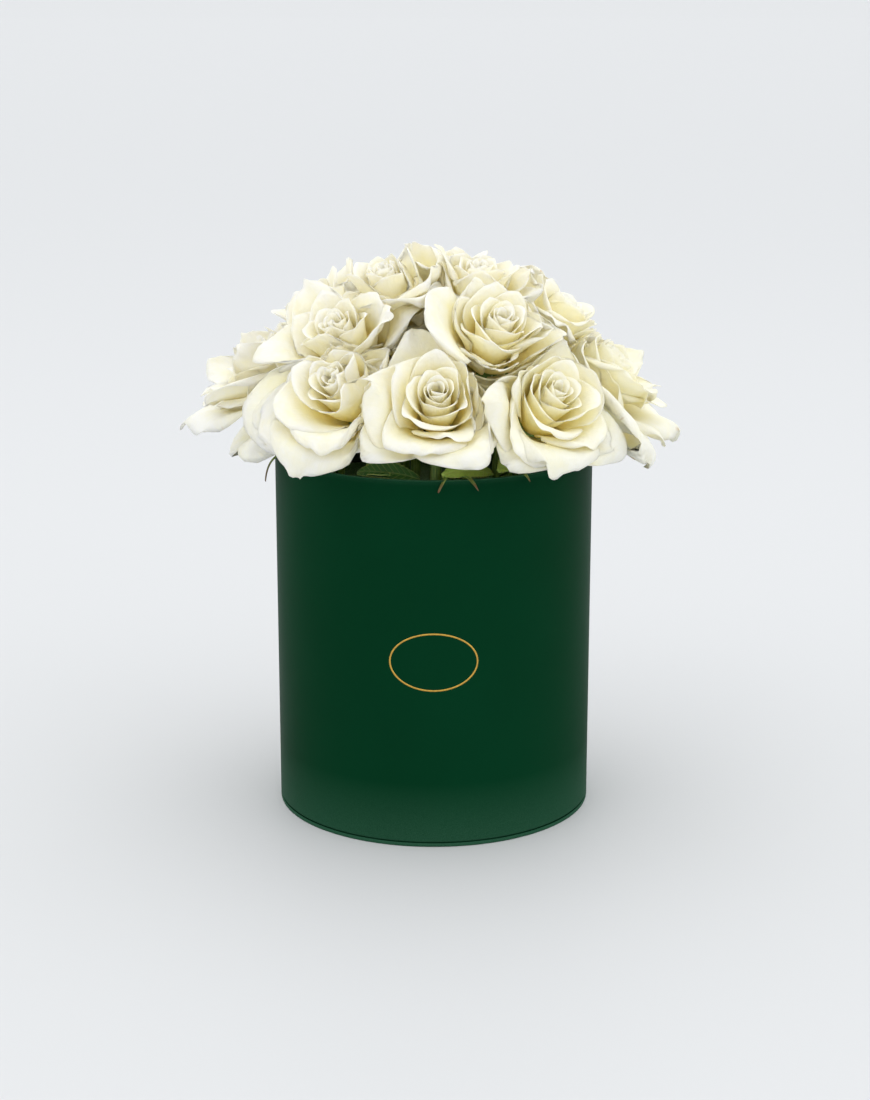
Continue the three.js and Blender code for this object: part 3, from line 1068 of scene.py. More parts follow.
@dataclass(frozen=True)
class Blade:
    """A leaf or a sepal that lies at the rim; places are azimuth in degrees, radius and height."""

    rose: int
    root: tuple[float, float, float]
    bend: tuple[float, float, float]
    tip: tuple[float, float, float]
    half: float
    growth: Growth = Growth.SEPAL
    face: float = 0.0

    @property
    def leaf(self) -> bool:
        """Whether it is a leaf."""
        return self.growth is not Growth.SEPAL


BLADES = (
    Blade(3, (-6, 70, 203), (-20, 78, 210), (-30, 82, 207), 6.0, Growth.LEAF, 40),
    Blade(3, (27, 70, 205), (15, 77, 211), (3, 83, 208), 6.0, Growth.YOUNG_LEAF, 42),
    Blade(4, (40, 70, 205), (32, 78, 212), (24, 84, 209), 4.5, Growth.YOUNG_LEAF, 36),
    Blade(3, (7, 66, 200), (5, 90, 214), (1.5, 93.5, 201.5), 1.6),
    Blade(3, (9, 66, 200), (11, 90, 214), (14.5, 94, 202), 1.5),
    Blade(4, (34, 66, 202), (32, 88, 214), (33.5, 93, 204), 1.5),
    Blade(2, (-30, 66, 198), (-22, 84, 208), (-16, 87, 208.5), 5.0, Growth.LEAF),
    Blade(1, (-84, 66, 200), (-81, 94, 214), (-76, 97, 192), 1.6),
)


@dataclass(frozen=True)
class StemSizes:
    """Sizes of a stem, its hip, its five sepals and its leaf."""

    foot: float = 130.0
    bend_drop: float = 15.0
    hip_height: float = 10.0
    radius: float = 2.9
    thickest: float = 3.1
    waver: float = 0.15
    hip: tuple[tuple[float, float], ...] = (
        (-11.0, 3.0),
        (-9.5, 3.2),
        (-7.5, 4.3),
        (-5.5, 5.6),
        (-3.6, 6.2),
        (-1.8, 6.2),
        (-0.6, 5.9),
        (0.0, 5.6),
    )
    sepals: int = 5
    sepal_root: float = 4.6
    sepal_half_width: float = 3.3
    sepal_lengths: tuple[float, float] = (25.0, 31.0)
    sepal_droops: tuple[float, float] = (62.0, 74.0)
    sepal_raised: float = 46.0
    leaf_half_width: float = 8.0


STEM = StemSizes()


@dataclass
class Rose:
    """One rose of the dome: its place, the cell that it fills, and its petals and green parts.

    Its number counts from 1 in the table of placements. A wall is a plane that keeps it off a neighbour:
    the normal's parts along the rose's own directions, its distance, and how far petals may lean over it.
    """

    placement: Placement
    number: int
    walls: list[tuple[float, float, float, float, float]] = field(default_factory=list)

    petal_layers = ("share", "layer", "number", "across", "along", "rim", "warmth")
    green_layers = ("share", "kind", "number", "across", "along", "rim")
    numbers_each = 40

    def __post_init__(self) -> None:
        """Works out the rose's directions and places."""
        placement = self.placement
        self.size = placement.size
        self.turn = math.radians(placement.turn)
        self.rng = np.random.default_rng(SEED + self.number)
        self.outward = level_towards(placement.azimuth)
        facing = level_towards(placement.face_azimuth)
        self.axis = leaned_to(facing, placement.face_tilt)
        self.down = leaned_to(facing, placement.face_tilt + 90)
        self.across = np.cross(self.axis, self.down)
        heart = np.array(DOME.focus) + DOME.heart_distance * leaned_to(self.outward, placement.tilt)
        self.base = heart - DOME.heart_height * self.size * self.axis
        self.centre = self.base + DOME.cell_centre * self.size * self.axis

    def wall_at(self, point: Array, normal: Array, past: float = 0.0) -> None:
        """Keeps the rose on its own side of a plane.

        Args:
            point: A point of the plane.
            normal: Its normal, towards the rose.
            past: How far the upper petals may lean over it.
        """
        offset = float(normal @ (self.base - point)) - DOME.cell_gap
        sides = (float(normal @ direction) for direction in (self.down, self.across, self.axis))
        self.walls.append((*sides, offset, past))

    def lap_over(self, other: Rose) -> tuple[float, float]:
        """How the wall between two roses leans.

        Args:
            other: The neighbour.

        Returns:
            Its lean, and how far the petals go past it.
        """
        mine, theirs = self.placement.tier.order, other.placement.tier.order
        over = (mine, self.number) > (theirs, other.number)
        if mine != theirs:
            return 0.0, DOME.ring_past[over]
        return DOME.lap if over else -DOME.lap, DOME.past[over]

    def settle(self, roses: Sequence[Rose]) -> None:
        """Sets the walls halfway to each neighbour, and one that leans on the box's rim.

        Args:
            roses: All the roses of the dome.
        """
        for other in roses:
            if other is self:
                continue
            midway = (self.centre + other.centre) / 2
            outwards = unit(midway - np.array(DOME.focus))
            lap, past = self.lap_over(other)
            self.wall_at(midway, unit(unit(self.centre - other.centre) + outwards * lap), past)
        rim = self.outward * (BOX.radius + DOME.rim_clearance)
        rim[2] = BOX.height + self.placement.rim_lift
        slope = math.radians(self.placement.rim_slope)
        lift = self.outward * math.sin(slope)
        lift[2] = math.cos(slope)
        self.wall_at(rim, lift)

    def room(
        self, angle: Array, height: Array, widest: float = math.inf, power: float = DOME.cell_power
    ) -> Array:
        """Distance from the axis to the walls, in a direction and at a height.

        Args:
            angle: Direction about the axis.
            height: Height along the axis.
            widest: The distance is never more than this.
            power: The higher it is, the sharper the corners between two walls.

        Returns:
            The distance in millimetres.
        """
        angle, height = np.broadcast_arrays(angle, height)
        total = np.full(angle.shape, widest**-power)
        low, high = DOME.lap_heights
        leant = smooth_step(height, low * self.size, high * self.size)
        for x, y, z, offset, past in self.walls:
            towards = np.maximum(-(x * np.cos(angle) + y * np.sin(angle)), 0)
            total = total + (towards / np.maximum(offset + z * height + past * leant, 1)) ** power
        return total ** (-1 / power)

    def openness(self, angle: Array) -> Array:
        """How far the petals can open before they meet a neighbour.

        Args:
            angle: Direction about the axis.

        Returns:
            The openness, where 1 is a petal of the outermost layer laid back.
        """
        met = DOME.opens_past * self.room(angle, np.full(np.shape(angle), DOME.meeting_height * self.size))
        meets = met / (DOME.reach * self.size)
        return (self.placement.openness**-4 + meets**-4) ** -0.25

    def rounded_openness(self, layer: float, angle: Array) -> Array:
        """The openness that a petal takes: even all round for the ball, its own direction's further out.

        Args:
            layer: Its layer.
            angle: Directions about the axis.

        Returns:
            The openness in each direction.
        """
        around = self.openness(np.linspace(0, 2 * math.pi, 24, endpoint=False))
        even = 0.8 * (1 - float(smooth_step(np.float64(layer), 0.45, 0.75)))
        return self.openness(angle) * (1 - even) + float(np.mean(around)) * even

    def fitted(self, layer: float, middle: float, opens: float, least: float, most: float) -> float:
        """How much a petal's length is stretched so that its tip stops about at the wall.

        Args:
            layer: Its layer.
            middle: Where its midline stands.
            opens: How far it opens.
            least: The least stretch.
            most: The most.

        Returns:
            The stretch.
        """
        height = np.float64(DOME.fitting_height * self.size)
        room = float(self.room(np.float64(middle), height)) / self.size
        laid, length = np.float64(layer * opens), FORM.length(np.float64(layer))
        tip, _ = FORM.meridian(laid, length, np.float64(0), np.float64(1))
        return float(np.clip(room / tip, least, most))

    def corners(self, count: int = 180) -> list[float]:
        """Directions in which the cell reaches furthest between two neighbours.

        Args:
            count: How many directions are tried.

        Returns:
            The directions in radians.
        """
        angles = np.linspace(0, 2 * math.pi, count, endpoint=False)
        room = self.room(angles, np.full(count, DOME.corner_height * self.size))
        nearest, furthest = DOME.corner_room
        peaks = (room > np.roll(room, 1)) & (room >= np.roll(room, -1))
        return [float(angle) for angle in angles[peaks & (room > nearest) & (room < furthest)]]

    def place(
        self,
        radius: Array,
        angle: Array,
        height: Array,
        inset: Array | float = 0.0,
        widest: float = math.inf,
        power: float = DOME.cell_power,
    ) -> Array:
        """Places a point about the axis, pressed inside the walls.

        Args:
            radius: Its radius.
            angle: Its direction.
            height: Its height along the axis.
            inset: How far inside the walls it stays.
            widest: Its radius is never more than this.
            power: How sharp the corners between two walls are.

        Returns:
            The point in millimetres.
        """
        room = np.maximum(self.room(angle, height, widest, power) - inset, 1)
        share = radius / room
        start, rest = DOME.squash_from, 1 - DOME.squash_from
        pressed = start + rest * (1 - np.exp(np.minimum((start - share) / rest, 0)))
        level = np.where(share > start, pressed, share) * room
        return (
            self.base
            + (level * np.cos(angle))[..., None] * self.down
            + (level * np.sin(angle))[..., None] * self.across
            + np.asarray(height)[..., None] * self.axis
        )

    # Petals

    @property
    def in_front(self) -> bool:
        """Whether the rose leans over the rim at the front of the box."""
        return self.placement.rim_lift > DOME.rim_clearance

    def wrapped(self, count: int = 16, small: int = 8) -> list[PetalPlan]:
        """The petals of the ball, from its heart outwards.

        Args:
            count: Their number.
            small: How many of them have a coarser grid.

        Returns:
            Their plans.
        """
        plans = []
        for k in range(count):
            grown = (k + 0.6) / count
            grid = (17, 13) if k < small else (23, 17)
            shape = (1.9 - 0.75 * grown, 0.12 + 0.35 * grown, 0.4 + 0.25 * grown, 0.15 + 0.5 * grown)
            middle = self.turn + math.radians(137.5) * k + self.rng.uniform(-0.12, 0.12)
            plans.append(PetalPlan(PetalKind(*grid, *shape), 0.03 + 0.66 * grown**1.35, middle))
        return plans

    def guards(self, count: int = 5) -> list[PetalPlan]:
        """The open petals round the ball: those of the solid, and one between each two.

        Args:
            count: The number of the solid's.

        Returns:
            Their plans.
        """
        rng, first = self.rng, self.placement.tier.first_guard
        last, shortest, plans = 1.02, 0.74, []
        for k in range(count):
            grown = k / (count - 1)
            middle = self.turn + math.radians(144) * k
            layer = first + (last - first) * grown
            opens = float(self.openness(np.float64(middle)))
            above = max(-math.cos(middle), 0.0) if self.in_front else 0.0
            stretch = self.fitted(layer, middle, opens, shortest, 1.0) * (1 - DOME.front_cut * above)
            beside = middle + math.radians(36) + rng.uniform(-0.12, 0.12)
            if k != 2:
                under = first - 0.1 + (last - first) * grown * 0.8
                shorter = 0.88 * self.fitted(layer, beside, opens, shortest, 1.0)
                plans.append(PetalPlan(BETWEEN, under, beside, 0.0, shorter, 7.2 - 1.2 * k))
            plans.append(PetalPlan(GUARD, layer, middle, 0.0, stretch, 4.6 - k, rng.random() < 0.4))
        return plans

    def fillers(self) -> list[PetalPlan]:
        """Open petals that reach into the corners between two neighbours.

        Returns:
            Their plans.
        """
        rng, plans = self.rng, []
        for angle in self.corners():
            layer, opens = rng.uniform(0.84, 0.94), rng.uniform(0.86, 0.96)
            middle = angle + rng.uniform(-0.06, 0.06)
            stretch = self.fitted(layer, angle, opens, 0.85, 1.05 if self.in_front else 1.3)
            plans.append(PetalPlan(FILLER, layer, middle, opens, stretch, 0.4, rng.random() < 0.25))
        return plans

    def skirts(self, count: int = 5, furthest: float = 62.0) -> list[PetalPlan]:
        """Low petals, laid back under the guards, that close the grooves towards the neighbours.

        Args:
            count: Their number all round.
            furthest: None stands where the walls are further off than this.

        Returns:
            Their plans.
        """
        rng, low, front = self.rng, np.float64(18.0 * self.size), self.in_front
        angles = [self.turn + math.radians(72 * k + 18) + rng.uniform(-0.15, 0.15) for k in range(count)]
        return [
            PetalPlan(SKIRT, 0.98, angle, opens=rng.uniform(1.22, 1.34), inset=0.2)
            for angle in angles
            if float(self.room(np.float64(angle), low)) < furthest and not (front and math.cos(angle) > 0.1)
        ]

    def hems(self, layer: float = 0.95, opens: float = 1.02) -> list[PetalPlan]:
        """Two petals of a front rose that hang to either side of the rim's nearest point.

        Args:
            layer: Their layer.
            opens: How far they open.

        Returns:
            Their plans.
        """
        plans = []
        for middle in (math.radians(-56), math.radians(56)) if self.in_front else ():
            turned = middle + self.rng.uniform(-0.08, 0.08)
            stretch = 0.85 * self.fitted(layer, middle, opens, 0.8, 1.0)
            plans.append(PetalPlan(HEM, layer, turned, opens, stretch, 0.3))
        return plans

    def plans(self) -> list[PetalPlan]:
        """All the petals of the rose."""
        placed = [*EXTRA_PETALS.get(self.number, ()), *self.hems()]
        return self.wrapped() + self.guards() + self.fillers() + self.skirts() + placed

    def petal_outline(self, plan: PetalPlan) -> tuple[Array, Array, Array, Array]:
        """The outline of one petal, as a grid.

        Args:
            plan: Its kind, layer and place.

        Returns:
            How far across each point lies, from -1 to 1, its row's share of the length, the share of the
            length that it reaches, and its direction about the axis.
        """
        kind, layer = plan.kind, plan.layer
        across = np.linspace(-1, 1, kind.columns)[:, None]
        along = np.linspace(FORM.first_row, 1, kind.rows)[None, :]
        u, share = np.broadcast_arrays(across, along)
        wobble = waves(u + 3, self.rng, 2.6, 2) * FORM.edge_wobble
        tip = FORM.tip_rise * kind.point * np.exp(-((u / FORM.tip_half_width) ** 2))
        upper = smooth_step(share, 0.4, 1.0)
        reach = share * (1 - FORM.rounded * np.abs(u) ** 2.5 + (tip + wobble) * upper)
        own_length = FORM.length(np.float64(layer))
        nominal, _ = FORM.meridian(np.float64(layer), own_length, 0 * reach, reach)
        claw = np.clip(0.3 + share / 0.55, 0, 1)
        half_angle = np.minimum(FORM.half_width(layer, share) / nominal, kind.widest)
        return u, share, reach, plan.middle + u * claw * half_angle

    def petal(self, plan: PetalPlan) -> dict[str, Array]:
        """The mid-surface of one petal.

        Args:
            plan: Its kind, layer and place.

        Returns:
            The sheet's points and the values that the finish reads, each as a grid.
        """
        kind, layer = plan.kind, plan.layer
        u, share, reach, angle = self.petal_outline(plan)
        side = np.abs(u)
        spiralled = layer + FORM.spiral * u
        openness = np.full(angle.shape, plan.opens) if plan.opens else self.rounded_openness(layer, angle)
        open_out = spiralled * openness
        length = FORM.length(np.maximum((layer + open_out) / 2, 0)) * plan.stretch
        edge = smooth_step(reach + 0.25 * side**2.5, 0.6, 1.1)
        wave = waves(u * (1 + layer) + 5, self.rng, 2.0, 2)
        fold = waves(u * 1.3 + share + 2, self.rng, 2.4, 2) * smooth_step(share, 0.15, 0.6)
        ripple = wave * edge + 0.4 * fold
        open_out = np.maximum(open_out + FORM.ripple_lean * kind.ruffle * ripple, 0)
        radius, height = FORM.meridian(open_out, length, side, reach)
        shoulder = float(smooth_step(np.float64(layer), 0.45, 0.8))
        rolled = kind.curl * smooth_step(reach + (0.12 + 0.2 * shoulder) * side**3, 0.84, 1.1) ** 1.5
        radius = radius + rolled * (1.6 - 0.7 * layer)
        height = height - rolled * (0.7 + 1.6 * layer + 1.8 * side**3 * shoulder)
        ball = (FORM.ball_radius + FORM.ball_growth * layer) * self.size
        widest = ball if layer < self.placement.tier.first_guard else math.inf
        inset = DOME.layer_inset * (1.06 - spiralled) if plan.inset is None else plan.inset
        inset = inset + kind.scallop * side**2
        power = DOME.corner_power if 0 < plan.opens < 1 else DOME.cell_power
        points = self.place(radius * self.size, angle, height * self.size, inset, widest, power)
        points = held_in(points, DOME.front_reach) if self.in_front else held_up(points, BOX.height)
        relief = kind.ruffle * (FORM.ripple_height * wave * edge + FORM.fold_height * fold)
        return {
            "points": points + sheet_normals(points) * relief[..., None],
            "share": share,
            "across": u * FORM.half_width(layer, share) * self.size,
            "along": reach * float(np.mean(length)) * self.size,
            "rim": np.maximum(share, side * smooth_step(share, 0.35, 0.8)),
        }

    def petals(self, finish: Material) -> None:
        """Builds all the petals as one piece that stands for the solid's.

        Args:
            finish: Their material.
        """
        pile = MeshPile(self.petal_layers)
        for number, plan in enumerate(self.plans(), self.numbers_each * self.number):
            grids = self.petal(plan)
            sheet, rim = grids.pop("points"), grids["rim"]
            grids["rim"] = rim * (1.0 if plan.bruised else 0.9)
            thickness = FORM.thickness - FORM.rim_thinned * smooth_step(rim, 0.5, 1.0)
            pile.add_blade(
                sheet, thickness, grids, layer=plan.layer, number=number, warmth=self.placement.warmth
            )
        piece = pile.build(f"petals_{self.number:02d}", finish)
        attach(piece, ROOT)
        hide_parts(f"bloom_{self.number:02d}")

    # Green parts

    def stem_line(self) -> tuple[Array, Array]:
        """The stem from its foot in the foam to the hip.

        Returns:
            The points of its centre line, and its radius at each.
        """
        foot = self.outward * self.placement.tier.stem_radius
        low, bends = foot + [0, 0, STEM.foot], foot + [0, 0, BOX.height - STEM.bend_drop]
        hip_foot = self.base - STEM.hip_height * self.axis
        reach = float(np.linalg.norm(hip_foot - bends))
        first = foot + [0, 0, bends[2] + (hip_foot[2] - bends[2]) * 0.6]
        second = hip_foot - 0.35 * reach * self.axis
        t = np.linspace(0, 1, 15)[:, None]
        weights = ((1 - t) ** 3, 3 * (1 - t) ** 2 * t, 3 * (1 - t) * t**2, t**3)
        curve = sum(weight * point for weight, point in zip(weights, (bends, first, second, hip_foot)))
        straight = low + (bends - low) * np.linspace(0, 1, 6)[:-1, None]
        line = np.concatenate([straight, curve])
        radii = STEM.radius + STEM.waver * waves(np.arange(len(line)) / 7.0, self.rng, 1.0)
        return line, np.minimum(radii, STEM.thickest)

    def hip(self, pile: MeshPile) -> None:
        """Adds the swollen hip under the petals.

        Args:
            pile: Where it goes.
        """
        heights, radii = np.array(STEM.hip).T
        line = self.base + heights[:, None] * self.axis
        points, faces = tube_shell(line, radii, 20, self.across)
        pile.add(points, faces, share=0.1, kind=Growth.STALK.value, number=self.number)

    def sepals(self, pile: MeshPile) -> None:
        """Adds the five narrow sepals, bent back under the petals.

        Args:
            pile: Where they go.
        """
        root = STEM.sepal_root
        for k in range(STEM.sepals):
            middle = self.turn + 2 * math.pi * k / STEM.sepals
            length = self.rng.uniform(*STEM.sepal_lengths)
            rimward = max(math.cos(middle), 0.0) if self.placement.tier is Tier.OUTER else 0.0
            droop = math.radians(self.rng.uniform(*STEM.sepal_droops) - STEM.sepal_raised * rimward)
            u = np.linspace(-1, 1, 7)[:, None]
            v = np.linspace(0, 1, 16)[None, :]
            swell = np.sin(math.pi * (0.16 + 0.84 * v)) ** 0.9
            width = STEM.sepal_half_width * swell * (1 - 0.3 * v) + 0.15
            radius = root + (length - root) * v * math.cos(droop)
            height = -1.2 - length * v * math.sin(droop) * v**0.35 + 3.0 * np.sin(math.pi * v) * 0.4
            radius, height, u, v = np.broadcast_arrays(radius, height, u, v)
            bent = height - 0.9 * np.abs(u) ** 2 * np.sin(math.pi * v) + 1.5 * v**4 * np.sin(3 * v + k)
            sheet = self.place(radius, middle + u * width / np.maximum(radius, 3.0), bent)
            grids = {"share": v, "across": u * width, "along": length * v, "rim": np.abs(u)}
            number = self.number + 0.17 * k
            pile.add_blade(sheet, 0.55 - 0.3 * v, grids, kind=Growth.SEPAL.value, number=number)

    def blade(self, pile: MeshPile, blade: Blade) -> None:
        """Adds a leaf with a saw edge, folded along its midrib, or a narrow sepal, along a curve.

        Args:
            pile: Where it goes.
            blade: Its places and width.
        """
        root, bend, tip = (
            level_towards(azimuth) * radius + [0, 0, height]
            for azimuth, radius, height in (blade.root, blade.bend, blade.tip)
        )
        upright = np.array([0.0, 0.0, 1.0])
        sideways = np.cross(upright, unit((tip - root) * [1, 1, 0]))
        turned = math.radians(blade.face) * math.copysign(1, sideways @ (root + tip))
        sideways = sideways * math.cos(turned) - upright * math.sin(turned)
        columns, rows = (13, 31) if blade.leaf else (7, 22)
        u, v = np.broadcast_arrays(np.linspace(-1, 1, columns)[:, None], np.linspace(0, 1, rows)[None, :])
        teeth = np.arange(rows)[None, :] % 2 * 2 - 1
        saw = 1 + 0.08 * smooth_step(np.abs(u), 0.6, 1.0) * teeth * blade.leaf
        broad = np.sin(math.pi * (0.04 + 0.95 * v)) ** 0.85 if blade.leaf else (1 - v) ** 0.6 + 0.06
        width = blade.half * broad * saw + (0.5 if blade.leaf else 0.1)
        weights = ((1 - v) ** 2, 2 * v * (1 - v), v**2)
        path = sum(weight[..., None] * point for weight, point in zip(weights, (root, bend, tip)))
        lift = (0.24 if blade.leaf else 0.12) * np.abs(u) * width + 0.4 * np.sin(9 * v + 3 * u) * v
        sheet = path + (u * width)[..., None] * sideways + lift[..., None] * upright
        length = float(np.linalg.norm(tip - root))
        grids = {"share": v, "across": u * width, "along": length * v, "rim": np.abs(u)}
        number = self.number + 0.13 * blade.tip[0]
        pile.add_blade(sheet, np.full(u.shape, 0.45), grids, kind=blade.growth.value, number=number)

    def greens(self, finish: Material) -> None:
        """Builds stem, hip, sepals and leaf as one piece that stands for the solid's.

        Args:
            finish: Their material.
        """
        pile = MeshPile(self.green_layers)
        line, radii = self.stem_line()
        points, faces = tube_shell(line, radii, 16, self.across)
        values = {"kind": Growth.STALK.value, "along": points[:, 2], "across": points[:, 0]}
        pile.add(points, faces, share=0.1, number=self.number, **values)
        self.hip(pile)
        self.sepals(pile)
        if self.placement.tier.leafy:
            around, out = self.placement.azimuth, self.placement.tier.stem_radius + 1
            root = BOX.foam_top + 8
            places = ((around, out, root), (around, out + 11, root + 12), (around, out + 23, root + 13))
            self.blade(pile, Blade(self.number, *places, STEM.leaf_half_width, Growth.LEAF))
        for blade in BLADES:
            if blade.rose == self.number:
                self.blade(pile, blade)
        piece = pile.build(f"greens_{self.number:02d}", finish)
        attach(piece, ROOT)
        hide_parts(f"stem_{self.number:02d}")


@dataclass
class RoseDome:
    """The dome of roses."""

    placements: Sequence[Placement] = PLACEMENTS
    roses: list[Rose] = field(default_factory=list)

    def build(self) -> None:
        """Settles the roses against each other and builds their pieces."""
        self.roses = [Rose(row, number) for number, row in enumerate(self.placements, 1)]
        petal, green = PetalFinish().material(), GreenFinish().material()
        for rose in self.roses:
            rose.settle(self.roses)
        for rose in self.roses:
            rose.petals(petal)
            rose.greens(green)
        log.info("dome: %d roses", len(self.roses))


@dataclass
class CardBox:
    """The covered card tube, its base, the film inside and the foil ornament on the front."""

    sides: int = 192
    foil_height: float = 106.5
    foil_half_width: float = 24.0
    foil_half_height: float = 16.0
    foil_line: float = 0.9
    # the base band and the edges are marked for a paler colour that is partly wear and partly a painted
    # highlight
    band_wear_and_highlight: float = 0.6
    rub_and_highlight_width: float = 0.6
    crisp_angle: float = 40.0
    film: float = 0.25

    def turned(self, name: str, profile: Sequence[tuple[float, float]], finish: Material) -> Piece:
        """Builds a turned card piece, with its edges marked for the finish's paler colour, which is partly
        wear and partly a painted highlight.

        Args:
            name: The piece's name.
            profile: Radius and height of its corners.
            finish: Its material.

        Returns:
            The piece.
        """
        points, faces = lathe_shell(profile, self.sides)
        pile = MeshPile(("edge",))
        height, radius = points[:, 2], np.hypot(points[:, 0], points[:, 1])
        near = np.minimum(np.abs(height - BOX.height), np.abs(height - BOX.wall_foot))
        outside = (near < self.rub_and_highlight_width) & (radius > BOX.radius - BOX.wall)
        # rim, foot and base band marked for the paler colour: partly wear, partly painted highlight
        edge = np.where(outside, 1 - near / self.rub_and_highlight_width, 0)
        edge = np.where((height < BOX.base_plate) & (radius > BOX.radius - 1), self.band_wear_and_highlight, edge)
        pile.add(points, faces, edge=edge)
        piece = pile.build(name, finish)
        split = piece.modifiers.new("crisp", "EDGE_SPLIT")
        split.split_angle = math.radians(self.crisp_angle)
        return piece

    def wall(self, finish: Material) -> None:
        """Builds the tube with its rounded, wrapped rim.

        Args:
            finish: Its material.
        """
        inner, outer, top, foot = BOX.radius - BOX.wall, BOX.radius, BOX.height, BOX.wall_foot
        soft, bend = BOX.edge, np.linspace(0, math.pi / 2, 5)
        rounded = [(outer - soft + soft * math.cos(a), top - soft + soft * math.sin(a)) for a in bend]
        inward = [(inner + soft - soft * math.sin(a), top - soft + soft * math.cos(a)) for a in bend]
        heights = np.linspace(foot + 0.35, top - 3, 7)
        profile = [(inner, foot), (outer - 0.35, foot), *[(outer, z) for z in heights], *rounded, *inward]
        piece = self.turned("card_tube", profile, finish)
        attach(piece, ROOT)
        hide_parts("box_wall")

    def base(self, finish: Material) -> None:
        """Builds the base plate with its recessed neck and plug.

        Args:
            finish: Its material.
        """
        outer, plate, neck = BOX.radius, BOX.base_plate, BOX.base_neck
        plug = outer - BOX.wall - BOX.fit
        profile = [
            (0.0, 0.0),
            (outer - 0.4, 0.0),
            (outer - 0.1, 0.15),
            (outer, 0.45),
            (outer, plate - 0.4),
            (outer - 0.15, plate - 0.1),
            (outer - 0.45, plate),
            (neck, plate),
            (neck, BOX.wall_foot),
            (plug, BOX.wall_foot),
            (plug, BOX.plug_top),
            (0.0, BOX.plug_top),
        ]
        piece = self.turned("card_base", profile, finish)
        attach(piece, ROOT)
        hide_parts("box_base")

    def liner(self, finish: Material) -> None:
        """Builds the crinkled film cup.

        Args:
            finish: Its material.
        """
        floor = BOX.plug_top + BOX.fit
        outer, thick = BOX.liner_radius, self.film
        heights = np.linspace(floor, BOX.liner_top, 26)
        outside = [(outer, z) for z in heights]
        inside = [(outer - thick, max(z, floor + thick)) for z in heights[::-1]]
        profile = [(0.0, floor), *outside, *inside, (0.0, floor + thick)]
        points, faces = lathe_shell(profile, 240)
        angle = np.arctan2(points[:, 1], points[:, 0])
        rng = np.random.default_rng(SEED)
        rise = smooth_step(points[:, 2], 150.0, BOX.liner_top)
        crinkle = np.abs(waves(angle, rng, 0.21, 4)) * 1.6 + np.abs(waves(angle + 9, rng, 0.06, 2)) * 0.5
        radius = np.hypot(points[:, 0], points[:, 1])
        keep = (radius - crinkle * rise * (radius > outer - 1)) / np.maximum(radius, 1e-6)
        points = points * np.stack([keep, keep, np.ones(len(keep))], axis=-1)
        points[:, 2] -= rise * np.abs(waves(angle + 4, rng, 0.5, 3)) * 2.2 * (radius > outer - 1)
        pile = MeshPile(())
        pile.add(points, faces)
        piece = pile.build("film_cup", finish)
        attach(piece, ROOT)
        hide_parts("liner")

    def foil(self, finish: Material) -> None:
        """Presses a plain oval ring of foil on the front.

        Args:
            finish: Its material.
        """
        angles = np.linspace(0, 2 * math.pi, 128, endpoint=False)[:, None]
        across = np.array([-1, -1, 1, 1, -1])[None, :] * self.foil_line / 2
        proud = np.array([-0.03, 0.06, 0.06, -0.03, -0.03])[None, :]
        wide = (self.foil_half_width + across) * np.cos(angles)
        tall = (self.foil_half_height + across) * np.sin(angles)
        around = wide / BOX.radius
        radius = BOX.radius + proud + 0 * around
        height = self.foil_height + tall
        points = np.stack([radius * np.sin(around), -radius * np.cos(around), height], axis=-1)
        pile = MeshPile(())
        pile.add(points.reshape(-1, 3), grid_faces(128, 5, closed=True))
        piece = pile.build("foil_oval", finish)
        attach(piece, ROOT)

    def build(self, nodes: dict[str, Piece]) -> None:
        """Builds the box's pieces and dresses the foam.

        Args:
            nodes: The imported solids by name.
        """
        card = CardFinish().material()
        self.wall(card)
        self.base(card)
        self.liner(FilmFinish().material())
        self.foil(FoilFinish().material())
        foam = nodes["foam"].data
        foam.materials.clear()
        foam.materials.append(FoamFinish().material())
        log.info("foam: %d faces", len(foam.polygons))


@dataclass(frozen=True)
class Lamp:
    """A square soft light that looks at the roses: its place and side in metres, power in watts, colour."""

    name: str
    at: tuple[float, float, float]
    side: float
    power: float
    colour: Colour

    def hang(self, target: tuple[float, float, float] = (0.0, 0.0, 0.22)) -> None:
        """Hangs the light.

        Args:
            target: Where it looks.
        """
        lamp = bpy.data.lights.new(self.name, "AREA")
        lamp.size = self.side
        lamp.energy = self.power
        lamp.color = self.colour
        holder = bpy.data.objects.new(self.name, lamp)
        holder.location = self.at
        holder.rotation_euler = (Vector(target) - Vector(self.at)).to_track_quat("-Z", "Y").to_euler()
        bpy.context.scene.collection.objects.link(holder)


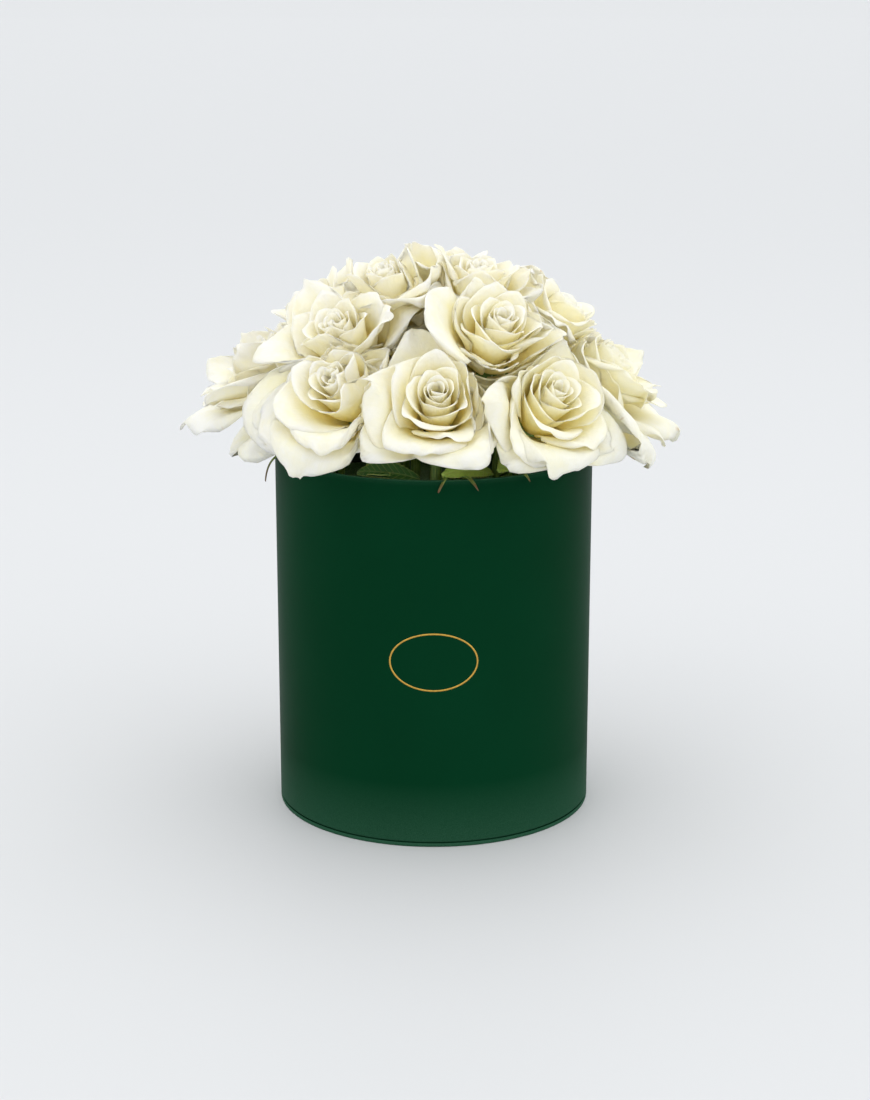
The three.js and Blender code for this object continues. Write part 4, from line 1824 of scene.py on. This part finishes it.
@dataclass(frozen=True)
class Studio:
    """Pale floor, soft lights and the camera at the photograph's view."""

    camera_at: tuple[float, float, float] = (0.0007, -1.1992, 0.4564)
    camera_tilt: float = 75.49
    lens: float = 70.5
    floor_half: float = 40.0
    bounces: int = 16
    room_colour: Colour = (0.97, 0.985, 1.0)
    room_strength: float = 1.17
    lamps: tuple[Lamp, ...] = (
        Lamp("key", (-1.3, -1.4, 2.0), 1.4, 4.0, (1.0, 0.98, 0.95)),
        Lamp("fill", (1.7, -1.3, 1.2), 1.8, 4.8, (0.97, 0.98, 1.0)),
        Lamp("top", (0.1, 0.5, 2.3), 1.6, 3.8, (1.0, 1.0, 1.0)),
    )

    def lights(self) -> None:
        """Hangs the lights and sets the pale surroundings."""
        for lamp in self.lamps:
            lamp.hang()
        world = bpy.data.worlds.new("pale_room")
        bpy.context.scene.world = world
        world.use_nodes = True
        background = world.node_tree.nodes["Background"]
        background.inputs["Color"].default_value = (*self.room_colour, 1.0)
        background.inputs["Strength"].default_value = self.room_strength

    def floor(self) -> None:
        """Lays the floor, which rises a little far off so that no horizon shows."""
        half, far, rise = self.floor_half, self.floor_half * 2.3, self.floor_half * 0.04
        signs = ((-1, -1), (1, -1), (1, 1), (-1, 1))
        points = [(x * half, y * half, 0) for x, y in signs] + [(x * far, y * far, rise) for x, y in signs]
        slopes = [(k, (k + 1) % 4, (k + 1) % 4 + 4, k + 4) for k in range(4)]
        mesh = bpy.data.meshes.new("floor")
        mesh.from_pydata(points, [], [(0, 1, 2, 3), *slopes])
        mesh.materials.append(FloorFinish().material())
        floor = bpy.data.objects.new("floor", mesh)
        bpy.context.scene.collection.objects.link(floor)
        floor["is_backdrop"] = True

    def camera(self) -> None:
        """Sets the camera."""
        data = bpy.data.cameras.new("camera")
        data.lens = self.lens
        data.sensor_width = 36.0
        data.clip_end = 4 * self.floor_half
        eye = bpy.data.objects.new("camera", data)
        eye.location = self.camera_at
        eye.rotation_euler = (math.radians(self.camera_tilt), 0, 0)
        bpy.context.scene.collection.objects.link(eye)
        bpy.context.scene.camera = eye

    def build(self) -> None:
        """Sets camera, lights and floor."""
        self.camera()
        self.lights()
        self.floor()
        scene = bpy.context.scene
        scene.view_settings.view_transform = "Standard"
        scene.cycles.max_bounces = self.bounces + 4
        scene.cycles.diffuse_bounces = self.bounces
        log.info("studio: camera, %d lamps and floor", len(self.lamps))


def main() -> None:
    """Builds the studio and the pieces in order."""
    logging.basicConfig(level=logging.INFO, format="%(name)s: %(message)s")
    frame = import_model()
    Studio().build()
    CardBox().build(frame["nodes"])
    RoseDome().build()
    tally = sum(len(face.vertices) - 2 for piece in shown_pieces() for face in piece.data.polygons)
    log.info("%d triangles in all", tally)


if __name__ == "__main__":
    main()
